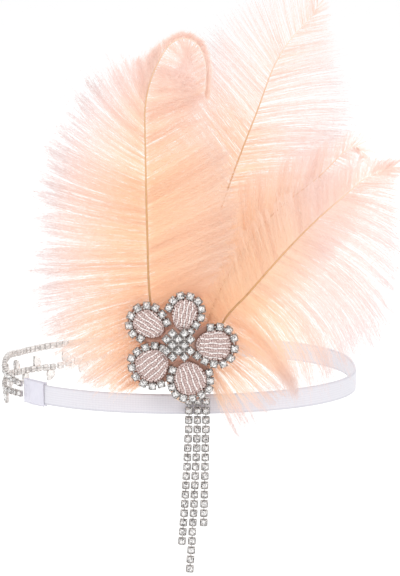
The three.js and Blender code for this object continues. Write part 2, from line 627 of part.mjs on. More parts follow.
const headband = new THREE.Group();
headband.add(
  mesh("elastic_band", elasticBand(), MATERIALS.elastic),
  mesh("end_tab_near", endTab(bandFrom, 1), MATERIALS.ribbon),
  mesh("end_tab_far", endTab(bandTo, -1), MATERIALS.ribbon),
  mesh("cup_chain", cupChain(), MATERIALS.rhinestone),
  mesh("leaf_chain", leafChain(), MATERIALS.rhinestone),
  mesh("felt_patch", feltPatch(), MATERIALS.felt),
  ...PLUMES.map((plume) => mesh(plume.name, plumeGeometry(plume), MATERIALS.feather)),
  ...STRANDS.map((row) => mesh("strand_" + row.name, strand(row), MATERIALS.rhinestone)),
);

const flower = new THREE.Group();
flower.add(
  mesh("petal_fabric", petalFabric(), MATERIALS.petalFabric),
  ...PETALS.map((petal) => mesh("petal_" + petal.name, petalPad(petal), MATERIALS.beads)),
  ...PETALS.map((petal) => mesh("rim_" + petal.name, petalRim(petal), MATERIALS.rhinestone)),
  mesh("flower_centre", flowerCentre(), MATERIALS.rhinestone),
);
flower.rotation.x = Math.PI / 2;
flower.position.set(FLOWER_SIDE, -fabricBack, FLOWER_RISE);
headband.add(flower);

export default headband;
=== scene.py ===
"""Dresses a packed feather headband: elastic, ribbon, rhinestones, beaded flower, plumes and a pale studio.

Lengths in the classes are millimetres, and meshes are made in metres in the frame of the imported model.
"""

from __future__ import annotations

import logging
import math
from dataclasses import dataclass, field
from enum import Enum
from typing import Any, Callable, Iterable, Sequence

import bmesh
import bpy
import numpy as np
from mathutils import Matrix, Vector

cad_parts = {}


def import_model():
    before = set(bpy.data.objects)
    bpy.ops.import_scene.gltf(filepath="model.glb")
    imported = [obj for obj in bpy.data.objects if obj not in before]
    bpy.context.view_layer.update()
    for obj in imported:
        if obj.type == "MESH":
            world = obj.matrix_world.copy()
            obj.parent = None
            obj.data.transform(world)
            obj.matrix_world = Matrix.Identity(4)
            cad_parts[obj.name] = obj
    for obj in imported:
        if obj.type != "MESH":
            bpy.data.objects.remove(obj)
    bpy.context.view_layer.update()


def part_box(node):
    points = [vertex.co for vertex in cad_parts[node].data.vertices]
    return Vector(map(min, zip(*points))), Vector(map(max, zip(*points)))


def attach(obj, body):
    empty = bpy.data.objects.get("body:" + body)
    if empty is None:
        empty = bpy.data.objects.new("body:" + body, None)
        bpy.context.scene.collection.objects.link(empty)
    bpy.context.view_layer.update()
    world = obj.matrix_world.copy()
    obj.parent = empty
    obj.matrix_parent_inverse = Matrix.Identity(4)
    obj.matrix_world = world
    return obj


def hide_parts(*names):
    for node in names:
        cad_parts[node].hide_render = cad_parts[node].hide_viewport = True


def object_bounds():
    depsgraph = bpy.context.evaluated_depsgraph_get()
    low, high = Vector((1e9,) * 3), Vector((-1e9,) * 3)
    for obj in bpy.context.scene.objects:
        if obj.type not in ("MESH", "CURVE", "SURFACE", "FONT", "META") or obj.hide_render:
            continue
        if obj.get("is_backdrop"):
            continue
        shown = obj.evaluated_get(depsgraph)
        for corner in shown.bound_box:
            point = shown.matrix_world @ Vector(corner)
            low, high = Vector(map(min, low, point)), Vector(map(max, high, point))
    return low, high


LOG = logging.getLogger("headband")
MM = 0.001
CM = 10.0
BODY = "root"

Colour = tuple[float, float, float]


class Slot(Enum):
    """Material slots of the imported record."""

    ELASTIC = "elastic"
    RIBBON = "ribbon"
    FELT = "felt"
    FEATHER = "feather"
    PETAL_FABRIC = "petal_fabric"
    BEADS = "beads"
    RHINESTONE = "rhinestone"


# Shaders


class Value:
    """A number socket that takes part in arithmetic, each operation adding a Math node."""

    def __init__(self, shader: "Shader", socket: bpy.types.NodeSocket) -> None:
        """Wraps a socket.

        Args:
            shader: the material under construction.
            socket: an output socket with a number.
        """
        self.shader = shader
        self.socket = socket

    def _math(self, operation: str, *terms: Any) -> "Value":
        """Adds a Math node and returns its result."""
        node = self.shader.node("ShaderNodeMath", {"operation": operation}, dict(enumerate(terms)))
        return Value(self.shader, node.outputs[0])

    def __add__(self, other: Any) -> "Value":
        """Adds a number or value."""
        return self._math("ADD", self, other)

    def __radd__(self, other: Any) -> "Value":
        """Adds to a number."""
        return self._math("ADD", other, self)

    def __sub__(self, other: Any) -> "Value":
        """Takes a number or value away."""
        return self._math("SUBTRACT", self, other)

    def __rsub__(self, other: Any) -> "Value":
        """Takes this from a number."""
        return self._math("SUBTRACT", other, self)

    def __mul__(self, other: Any) -> "Value":
        """Multiplies by a number or value."""
        return self._math("MULTIPLY", self, other)

    def __rmul__(self, other: Any) -> "Value":
        """Multiplies a number."""
        return self._math("MULTIPLY", other, self)

    def __truediv__(self, other: Any) -> "Value":
        """Divides by a number or value."""
        return self._math("DIVIDE", self, other)

    def __rtruediv__(self, other: Any) -> "Value":
        """Divides a number by this."""
        return self._math("DIVIDE", other, self)

    def __pow__(self, other: Any) -> "Value":
        """Raises to a power."""
        return self._math("POWER", self, other)

    def sine(self) -> "Value":
        """The sine of the value, in radians."""
        return self._math("SINE", self)

    def above(self, limit: float) -> "Value":
        """1 where the value is greater than a limit, and 0 elsewhere."""
        return self._math("GREATER_THAN", self, limit)

    def size(self) -> "Value":
        """The value without its sign."""
        return self._math("ABSOLUTE", self)

    def within(self) -> "Value":
        """The value, held between 0 and 1."""
        return self._math("MINIMUM", self._math("MAXIMUM", self, 0.0), 1.0)


class Shader:
    """A node material under construction."""

    def __init__(self, name: str) -> None:
        """Starts an empty material.

        Args:
            name: the material's name.
        """
        self.material = bpy.data.materials.new(name)
        self.material.use_nodes = True
        self.tree = self.material.node_tree
        self.tree.nodes.clear()

    def node(self, kind: str, settings: dict[str, Any], inputs: dict[Any, Any]) -> bpy.types.Node:
        """Adds a node.

        Args:
            kind: the node's type.
            settings: its properties, set first; "stops" holds a ramp's (place, colour) pairs.
            inputs: numbers, colours, sockets or values for its input sockets, by name or index.

        Returns:
            The new node.
        """
        node = self.tree.nodes.new(kind)
        for name, setting in settings.items():
            if name == "stops":
                self._stops(node, setting)
            else:
                setattr(node, name, setting)
        for name, given in inputs.items():
            socket = node.inputs[name]
            if isinstance(given, Value):
                self.tree.links.new(given.socket, socket)
            elif isinstance(given, bpy.types.NodeSocket):
                self.tree.links.new(given, socket)
            else:
                socket.default_value = rgba(given) if socket.type == "RGBA" else given
        return node

    @staticmethod
    def _stops(node: bpy.types.Node, stops: Sequence[tuple[float, Colour]]) -> None:
        """Sets the stops of a colour ramp."""
        elements = node.color_ramp.elements
        while len(elements) < len(stops):
            elements.new(0.5)
        for element, (place, colour) in zip(elements, stops):
            element.position = place
            element.color = rgba(colour)

    def attribute(self, name: str) -> Value:
        """The number that a mesh attribute holds."""
        return Value(self, self.node("ShaderNodeAttribute", {"attribute_name": name}, {}).outputs["Fac"])

    def place(self, source: str) -> bpy.types.NodeSocket:
        """Object or UV coordinates, by the output's name."""
        return self.node("ShaderNodeTexCoord", {}, {}).outputs[source]

    def parts(self, vector: bpy.types.NodeSocket) -> tuple[Value, Value, Value]:
        """The three numbers of a vector."""
        node = self.node("ShaderNodeSeparateXYZ", {}, {0: vector})
        return tuple(Value(self, output) for output in node.outputs)

    def noise(self, vector: bpy.types.NodeSocket, scale: float, detail: float = 2.0) -> Value:
        """Noise from 0 to 1 at a place."""
        node = self.node("ShaderNodeTexNoise", {}, {"Vector": vector, "Scale": scale, "Detail": detail})
        return Value(self, node.outputs["Fac"])

    @staticmethod
    def ribs(place: Value, pitch: float) -> Value:
        """Ribs from 0 to 1 at a pitch in millimetres, along a place in centimetres."""
        return (place * (2 * math.pi * CM / pitch)).sine() * 0.5 + 0.5

    def ramp(self, amount: Value, stops: Sequence[tuple[float, Colour]]) -> bpy.types.NodeSocket:
        """A colour ramp read at an amount."""
        return self.node("ShaderNodeValToRGB", {"stops": stops}, {"Fac": amount}).outputs["Color"]

    def blend(self, amount: Any, first: Any, second: Any, how: str = "MIX") -> bpy.types.NodeSocket:
        """Mixes two colours.

        Args:
            amount: the share of the second, a number or value.
            first: a colour or colour socket.
            second: a colour or colour socket.
            how: the Mix node's blend type.

        Returns:
            The mixed colour.
        """
        settings = {"data_type": "RGBA", "blend_type": how, "clamp_result": False}
        node = self.node("ShaderNodeMix", settings, {"Factor": amount, 6: first, 7: second})
        return node.outputs[2]

    def bump(self, height: Value, distance: float, strength: float = 1.0) -> bpy.types.NodeSocket:
        """A normal bent by a height, in metres."""
        inputs = {"Height": height, "Distance": distance, "Strength": strength}
        return self.node("ShaderNodeBump", {}, inputs).outputs["Normal"]

    def principled(self, inputs: dict[str, Any]) -> bpy.types.NodeSocket:
        """A Principled BSDF."""
        return self.node("ShaderNodeBsdfPrincipled", {}, inputs).outputs[0]

    def finish(self, surface: bpy.types.NodeSocket) -> bpy.types.Material:
        """Links a surface to the output and returns the material."""
        self.node("ShaderNodeOutputMaterial", {}, {"Surface": surface})
        return self.material


def rgba(colour: Sequence[float]) -> tuple[float, ...]:
    """A colour with its alpha."""
    return (*colour, 1.0) if len(colour) == 3 else tuple(colour)


# Finishes


@dataclass(frozen=True)
class FeatherFinish:
    """Dyed ostrich barbs: warm at the heart and the flower, greyer at the tips, where the lavender grey is
    painted shade, each lock a little different.

    The heart, fluff and glow are ovals of side, rise, half width and half height, in millimetres.
    """

    name: str = "ostrich_barbs"
    core: Colour = (0.92, 0.8, 0.74)
    middle: Colour = (0.91, 0.8, 0.77)
    outer: Colour = (0.85, 0.73, 0.73)
    # Lavender grey at the tips: painted shade on the thin outer barbs.
    tip: Colour = (0.62, 0.54, 0.59)
    shade: Colour = (0.9, 0.78, 0.75)
    warm: Colour = (0.95, 0.74, 0.515)
    deep: Colour = (0.95, 0.62, 0.36)
    heart: tuple[float, ...] = (0.0, 80.0, 60.0, 80.0)
    fluff: tuple[float, ...] = (0.0, 28.0, 72.0, 30.0)
    glow: tuple[float, ...] = (-2.1, 33.0, 40.0, 34.0)
    through: Colour = (0.95, 0.85, 0.79)
    oval_softness: float = 1.3
    warm_share: float = 0.95
    deep_share: float = 0.6
    tip_coolness: float = 0.45
    roughness: float = 0.9
    specular: float = 0.1
    translucency: float = 0.45

    def build(self) -> bpy.types.Material:
        """Makes the material from the barbs' "reach" and "lock" attributes."""
        shader = Shader(self.name)
        reach = shader.attribute("reach")
        stops = [(0.0, self.core), (0.3, self.middle), (0.7, self.outer), (1.0, self.tip)]
        colour = shader.ramp(reach, stops)
        side, _, rise = shader.parts(shader.place("Object"))
        near: list[Value] = []
        for left, low, wide, tall in (self.heart, self.fluff, self.glow):
            across, up = (side - left * MM) / (wide * MM), (rise - low * MM) / (tall * MM)
            near.append((self.oval_softness - (across * across + up * up)).within())
        warmth = (near[0] + near[1]).within() * (1 - reach * self.tip_coolness)
        colour = shader.blend(warmth * self.warm_share, colour, self.warm)
        colour = shader.blend(near[2] * self.deep_share, colour, self.deep)
        colour = shader.blend(shader.attribute("lock"), colour, self.shade, "MULTIPLY")
        inputs = {"Base Color": colour, "Roughness": self.roughness, "Specular IOR Level": self.specular}
        opaque = shader.principled(inputs)
        through = shader.node("ShaderNodeBsdfTranslucent", {}, {"Color": self.through}).outputs[0]
        both = shader.node("ShaderNodeMixShader", {}, {0: self.translucency, 1: opaque, 2: through})
        return shader.finish(both.outputs[0])


@dataclass(frozen=True)
class QuillFinish:
    """A tan quill, darker and flecked with brown towards its foot."""

    name: str = "ostrich_quill"
    foot: Colour = (0.48, 0.24, 0.1)
    stem: Colour = (0.62, 0.35, 0.16)
    upper: Colour = (0.72, 0.46, 0.28)
    tip: Colour = (0.93, 0.76, 0.66)
    fleck: Colour = (0.3, 0.16, 0.08)
    fleck_scale: float = 420.0
    roughness: float = 0.5

    def build(self) -> bpy.types.Material:
        """Makes the material from the quill's "reach" attribute."""
        shader = Shader(self.name)
        reach = shader.attribute("reach")
        colour = shader.ramp(reach, [(0.0, self.foot), (0.4, self.stem), (0.7, self.upper), (0.92, self.tip)])
        flecks = shader.noise(shader.place("Object"), self.fleck_scale, 3.0)
        colour = shader.blend(flecks.above(0.62) * (1 - reach) * 0.5, colour, self.fleck)
        normal = shader.bump(flecks, 0.05 * MM)
        inputs = {"Base Color": colour, "Roughness": self.roughness, "Normal": normal}
        return shader.finish(shader.principled(inputs))


@dataclass(frozen=True)
class ElasticFinish:
    """White woven elastic: fine upright ribs on a satin ground, with painted shade in the weave's grooves and
    along the selvedge.
    """

    name: str = "woven_elastic"
    thread: Colour = (0.76, 0.755, 0.8)
    groove_shade: Colour = (0.64, 0.63, 0.69)
    height: float = 10.0
    rib_pitch: float = 0.8
    row_pitch: float = 1.15
    selvedge_at: float = 0.84
    selvedge_shade: float = 0.6
    depth: float = 0.12
    roughness: float = 0.48

    def build(self) -> bpy.types.Material:
        """Makes the material from UVs in centimetres along and across the band."""
        shader = Shader(self.name)
        uv = shader.place("UV")
        along, across, _ = shader.parts(uv)
        rib, row = shader.ribs(along, self.rib_pitch), shader.ribs(across, self.row_pitch)
        weave = rib * 0.55 + row * 0.45
        slub = shader.noise(uv, 9.0, 3.0)
        selvedge = (across * (2 * CM / self.height) - 1).size().above(self.selvedge_at)
        # Painted shade: the colour darkens into the weave's grooves and along the rounded selvedge; the slub
        # noise is the yarn's own unevenness.
        light = weave * 0.7 + slub * 0.3 - selvedge * self.selvedge_shade
        colour = shader.blend(light, self.groove_shade, self.thread)
        inputs = {
            "Base Color": colour,
            "Roughness": slub * 0.18 + self.roughness,
            "Normal": shader.bump(weave + slub * 0.3, self.depth * MM, 0.6),
            "Sheen Weight": 0.15,
        }
        return shader.finish(shader.principled(inputs))


@dataclass(frozen=True)
class RibbonFinish:
    """White satin ribbon with a very fine cross weave, a soft, uneven gloss and painted lavender shade in its
    creases.
    """

    name: str = "satin_ribbon"
    light: Colour = (0.76, 0.75, 0.82)
    dark: Colour = (0.58, 0.57, 0.67)
    thread_pitch: float = 0.35
    depth: float = 0.04
    roughness: float = 0.32

    def build(self) -> bpy.types.Material:
        """Makes the material from UVs in centimetres round the fold and up the ribbon."""
        shader = Shader(self.name)
        uv = shader.place("UV")
        _, across, _ = shader.parts(uv)
        thread = shader.ribs(across, self.thread_pitch)
        crease = shader.noise(uv, 2.2, 3.0)
        # Painted shade: crease noise darkens the colour towards lavender grey, as shade in soft creases; the
        # same noise varies the gloss and bumps.
        colour = shader.blend(crease * 0.7 + thread * 0.15, self.light, self.dark)
        inputs = {
            "Base Color": colour,
            "Roughness": crease * 0.2 + self.roughness,
            "Normal": shader.bump(thread + crease * 4.0, self.depth * MM, 0.5),
        }
        return shader.finish(shader.principled(inputs))


@dataclass(frozen=True)
class ClothFinish:
    """Matte cloth with a plain weave, mottled towards its edge colour, which is also painted on as shade
    where the mesh's edge attribute says so.
    """

    name: str
    ground: Colour
    edge: Colour
    thread_pitch: float = 0.45
    depth: float = 0.1
    roughness: float = 0.85

    def build(self) -> bpy.types.Material:
        """Makes the material from object coordinates and the mesh's "edge" attribute."""
        shader = Shader(self.name)
        place = shader.place("Object")
        side, _, rise = shader.parts(place)
        turn = 2 * math.pi / (self.thread_pitch * MM)
        weave = (side * turn).sine() * (rise * turn).sine() * 0.5 + 0.5
        fuzz = shader.noise(place, 900.0, 3.0)
        # Painted shade: the edge colour is laid on where the edge attribute rises, towards the cloth's rims.
        colour = shader.blend(shader.attribute("edge"), self.ground, self.edge)
        colour = shader.blend(fuzz * 0.35, colour, self.edge)
        inputs = {
            "Base Color": colour,
            "Roughness": self.roughness,
            "Normal": shader.bump(weave + fuzz, self.depth * MM, 0.7),
        }
        return shader.finish(shader.principled(inputs))


@dataclass(frozen=True)
class StoneFinish:
    """Cut glass over foil with painted reflections: each facet takes its own mottled tone, dark, grey or
    bright, as glints and dark reflections.
    """

    name: str = "cut_stone"
    dark: Colour = (0.07, 0.065, 0.065)
    middle: Colour = (0.46, 0.445, 0.44)
    bright: Colour = (0.88, 0.87, 0.86)
    glint_speckle: float = 1500.0
    roughness: float = 0.08

    def build(self) -> bpy.types.Material:
        """Makes the material from the facets' "tone" attribute, whose tones are painted reflections."""
        shader = Shader(self.name)
        cloud = shader.noise(shader.place("Object"), self.glint_speckle, 1.0)
        # Painted reflections: the facet tone and a strong noise speckle set dark and bright glints in the
        # colour; the noise also varies roughness.
        tone = shader.attribute("tone") * 0.8 + (cloud - 0.5) * 2.2 + 0.08
        colour = shader.ramp(tone, [(0.0, self.dark), (0.35, self.middle), (0.8, self.bright)])
        inputs = {
            "Base Color": colour,
            "Metallic": 0.3,
            "Roughness": cloud * 0.1 + self.roughness,
            "Coat Weight": 0.4,
            "Coat Roughness": 0.05,
        }
        return shader.finish(shader.principled(inputs))


@dataclass(frozen=True)
class SilverFinish:
    """Silver-plated brass of the cups, with painted shade and reflections: each face takes its own tone,
    upright sides darker, mottled by noise.
    """

    name: str = "silver_cup"
    bright: Colour = (0.94, 0.9, 0.87)
    shaded_silver: Colour = (0.3, 0.275, 0.265)
    roughness: float = 0.28

    def build(self) -> bpy.types.Material:
        """Makes the material from the faces' "tone" attribute, whose tones are painted shade and reflections.
        """
        shader = Shader(self.name)
        place = shader.place("Object")
        mottle = shader.noise(place, 900.0, 2.0)
        # Painted shade and reflections: each face's tone, darker on upright sides, with noise mottle, sets
        # how bright the silver is; the mottle also varies roughness and bumps.
        reflection_tone = shader.attribute("tone") * 0.75 + (mottle - 0.5) * 1.2 + 0.2
        colour = shader.blend(reflection_tone, self.shaded_silver, self.bright)
        inputs = {
            "Base Color": colour,
            "Metallic": 0.9,
            "Roughness": mottle * 0.2 + self.roughness,
            "Normal": shader.bump(mottle, 0.04 * MM, 0.5),
        }
        return shader.finish(shader.principled(inputs))


@dataclass(frozen=True)
class BeadFinish:
    """Small glass beads with a silver lining, each bead a little different."""

    name: str
    dark: Colour
    light: Colour
    metallic: float = 0.3
    roughness: float = 0.14

    def build(self) -> bpy.types.Material:
        """Makes the material from the beads' "tone" attribute."""
        shader = Shader(self.name)
        tone = shader.attribute("tone")
        grain = shader.noise(shader.place("Object"), 1800.0)
        colour = shader.blend(tone * 0.8 + grain * 0.2, self.dark, self.light)
        inputs = {
            "Base Color": colour,
            "Metallic": self.metallic,
            "Roughness": grain * 0.1 + self.roughness,
            "Coat Weight": 0.5,
            "Coat Roughness": 0.05,
        }
        return shader.finish(shader.principled(inputs))


@dataclass(frozen=True)
class StageFinish:
    """The studio's plain pale floor."""

    name: str = "pale_floor"
    colour: Colour = (0.97, 0.97, 0.97)

    def build(self) -> bpy.types.Material:
        """Makes the material."""
        shader = Shader(self.name)
        return shader.finish(shader.principled({"Base Color": self.colour, "Roughness": 0.9}))


# Meshes


def unit(vectors: np.ndarray) -> np.ndarray:
    """Vectors along the last axis, each made one long."""
    return vectors / np.maximum(np.linalg.norm(vectors, axis=-1, keepdims=True), 1e-12)


def piece(name: str, mesh: bpy.types.Mesh, slot: Slot, *nodes: str) -> bpy.types.Object:
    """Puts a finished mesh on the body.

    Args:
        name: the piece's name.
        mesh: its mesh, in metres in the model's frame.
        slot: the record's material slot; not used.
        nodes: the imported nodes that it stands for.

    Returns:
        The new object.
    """
    made = bpy.data.objects.new(name, mesh)
    bpy.context.scene.collection.objects.link(made)
    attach(made, BODY)
    if nodes:
        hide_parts(*nodes)
    LOG.info("%s: %d polygons", name, len(mesh.polygons))
    return made


def mesh_of(name: str, shape: bmesh.types.BMesh, *materials: bpy.types.Material) -> bpy.types.Mesh:
    """A mesh from a bmesh in millimetres, which is freed."""
    mesh = bpy.data.meshes.new(name)
    shape.to_mesh(mesh)
    shape.free()
    mesh.transform(Matrix.Scale(MM, 4))
    for material in materials:
        mesh.materials.append(material)
    return mesh


def set_attribute(mesh: bpy.types.Mesh, name: str, domain: str, values: np.ndarray) -> None:
    """Stores a number for each point, corner or face of a mesh."""
    layer = mesh.attributes.new(name, "FLOAT", domain)
    layer.data.foreach_set("value", np.asarray(values, np.float32))


def smooth(mesh: bpy.types.Mesh) -> bpy.types.Mesh:
    """Shades all faces smooth."""
    mesh.polygons.foreach_set("use_smooth", [True] * len(mesh.polygons))
    return mesh


@dataclass
class Template:
    """A small shape to be repeated: triangles with a material and a tone each."""

    corners: np.ndarray
    triangles: np.ndarray
    materials: np.ndarray
    tones: np.ndarray
    rounded: bool = False

    @classmethod
    def of(cls, shape: bmesh.types.BMesh, tones: dict[int, Sequence[float]], seed: int, rounded: bool = False,
           side_shade: float = 0.0) -> "Template":
        """Reads a bmesh, which is freed.

        Args:
            shape: the shape in millimetres.
            tones: for each material index, the tones that its faces take by turns.
            seed: seed of the order in which faces take them.
            rounded: whether its faces are shaded smooth.
            side_shade: how much darker its upright sides are painted, as shade.

        Returns:
            The template.
        """
        draw = np.random.default_rng(seed)
        materials, face_tones = [], []
        shape.faces.ensure_lookup_table()
        # Painted shade: upright faces take a darker tone, by side_shade.
        own = {face.index: float(draw.choice(tones[face.material_index]))
               * (1 - side_shade * (1 - abs(face.normal.z))) for face in shape.faces}
        loops = shape.calc_loop_triangles()
        shape.verts.index_update()
        triangles = []
        for loop in loops:
            triangles.append([corner.vert.index for corner in loop])
            materials.append(loop[0].face.material_index)
            face_tones.append(own[loop[0].face.index])
        corners = np.array([vertex.co[:] for vertex in shape.verts])
        shape.free()
        return cls(corners, np.array(triangles), np.array(materials), np.array(face_tones), rounded)


class Repeats:
    """Gathers copies of templates into one mesh."""

    def __init__(self, seed: int) -> None:
        """Starts empty.

        Args:
            seed: seed of the small differences between copies.
        """
        self.draw = np.random.default_rng(seed)
        self.corners: list[np.ndarray] = []
        self.triangles: list[np.ndarray] = []
        self.materials: list[np.ndarray] = []
        self.tones: list[np.ndarray] = []
        self.rounded: list[np.ndarray] = []
        self.count = 0

    def add(self, template: Template, frames: np.ndarray, play: float = 0.0, material: int = 0) -> None:
        """Adds a copy of a template at each frame.

        Args:
            template: the shape.
            frames: four by four matrices, in millimetres.
            play: how far the tone of a copy may lie from the template's.
            material: added to the template's material indices.
        """
        homogeneous = np.c_[template.corners, np.ones(len(template.corners))]
        moved = np.einsum("nij,vj->nvi", frames, homogeneous)[..., :3]
        size = len(template.corners)
        steps = self.count + size * np.arange(len(frames))
        self.corners.append(moved.reshape(-1, 3))
        self.triangles.append((template.triangles[None] + steps[:, None, None]).reshape(-1, 3))
        self.materials.append(np.tile(template.materials + material, len(frames)))
        shifts = self.draw.uniform(-play, play, (len(frames), len(template.tones)))
        self.tones.append(np.clip(template.tones[None] + shifts, 0, 1).ravel())
        self.rounded.append(np.full(len(frames) * len(template.triangles), template.rounded))
        self.count += size * len(frames)

    def mesh(self, name: str, *materials: bpy.types.Material) -> bpy.types.Mesh:
        """Joins the copies.

        Args:
            name: the mesh's name.
            materials: its materials, in the order of the indices.

        Returns:
            The mesh, with a "tone" for each face.
        """
        mesh = triangle_mesh(name, np.concatenate(self.corners), np.concatenate(self.triangles))
        for material in materials:
            mesh.materials.append(material)
        mesh.polygons.foreach_set("material_index", np.concatenate(self.materials).astype(np.int32))
        mesh.polygons.foreach_set("use_smooth", np.concatenate(self.rounded))
        set_attribute(mesh, "tone", "CORNER", np.repeat(np.concatenate(self.tones), 3))
        return mesh


def triangle_mesh(name: str, corners: np.ndarray, triangles: np.ndarray) -> bpy.types.Mesh:
    """A mesh from corners in millimetres and triangles."""
    mesh = bpy.data.meshes.new(name)
    mesh.vertices.add(len(corners))
    mesh.vertices.foreach_set("co", (corners * MM).astype(np.float32).ravel())
    mesh.loops.add(3 * len(triangles))
    mesh.loops.foreach_set("vertex_index", triangles.astype(np.int32).ravel())
    mesh.polygons.add(len(triangles))
    mesh.polygons.foreach_set("loop_start", np.arange(0, 3 * len(triangles), 3, dtype=np.int32))
    mesh.update(calc_edges=True)
    mesh.validate()
    return mesh


def frames_of(points: np.ndarray, along: np.ndarray, outward: np.ndarray) -> np.ndarray:
    """Four by four matrices whose x is along and whose z is outward."""
    frames = np.zeros((len(points), 4, 4))
    frames[:, :3, 0] = along
    frames[:, :3, 1] = np.cross(outward, along)
    frames[:, :3, 2] = outward
    frames[:, :3, 3] = points
    frames[:, 3, 3] = 1
    return frames


def swept_tube(points: np.ndarray, radii: np.ndarray, sides: int) -> bmesh.types.BMesh:
    """A closed round tube along points, made by extruding a circle from each to the next.

    Args:
        points: the middle line, in millimetres.
        radii: its radius at each point.
        sides: sides of its section.

    Returns:
        The tube.
    """
    headings = unit(np.gradient(points, axis=0))
    turns = [Vector(heading).to_track_quat("Z", "Y").to_matrix().to_4x4() for heading in headings]
    places = [Matrix.Translation(point) @ turn @ Matrix.Scale(radius, 4)
              for point, turn, radius in zip(points, turns, radii)]
    shape = bmesh.new()
    bmesh.ops.create_circle(shape, cap_ends=True, segments=sides, radius=1, matrix=places[0])
    edges = list(shape.edges)
    for before, after in zip(places, places[1:]):
        grown = bmesh.ops.extrude_edge_only(shape, edges=edges)["geom"]
        corners = [item for item in grown if isinstance(item, bmesh.types.BMVert)]
        edges = [item for item in grown if isinstance(item, bmesh.types.BMEdge)]
        bmesh.ops.transform(shape, matrix=after @ before.inverted(), verts=corners)
    bmesh.ops.contextual_create(shape, geom=edges)
    bmesh.ops.recalc_face_normals(shape, faces=shape.faces)
    return shape


# Head loop


@dataclass
class HeadLoop:
    """The middle line of the elastic seen from above: two half superellipses."""

    length: float = 179.0
    near_depth: float = 65.0
    far_depth: float = 78.0
    near_fullness: float = 2.1
    far_fullness: float = 2.6
    steps: int = 1440
    girth: float = field(init=False)

    def __post_init__(self) -> None:
        """Measures the line."""
        angles = 2 * np.pi * (np.arange(self.steps + 1) / self.steps - 0.25)
        near = np.sin(angles) < 0
        power = 2 / np.where(near, self.near_fullness, self.far_fullness)
        depth = np.where(near, self.near_depth, self.far_depth)

        def curved(values: np.ndarray) -> np.ndarray:
            """Squares off a cosine or sine as far as each quarter of the loop is full."""
            return np.sign(values) * np.abs(values) ** power

        side, back = self.length / 2 * curved(np.cos(angles)), depth * curved(np.sin(angles))
        self._points = np.c_[side, back, np.zeros_like(side)]
        self._reach = np.r_[0, np.cumsum(np.linalg.norm(np.diff(self._points, axis=0), axis=1))]
        self.girth = float(self._reach[-1])

    def points(self, distance: np.ndarray) -> np.ndarray:
        """Points of the line at distances along it from the flower."""
        wrapped = np.mod(distance, self.girth)
        return np.stack([np.interp(wrapped, self._reach, self._points[:, axis]) for axis in range(3)], -1)

    def at(self, distance: np.ndarray) -> tuple[np.ndarray, np.ndarray, np.ndarray]:
        """Points, directions along and outward directions at distances along the line."""
        distance = np.asarray(distance, float)
        along = unit(self.points(distance + 0.4) - self.points(distance - 0.4))
        outward = np.stack([along[..., 1], -along[..., 0], np.zeros_like(along[..., 0])], -1)
        return self.points(distance), along, outward


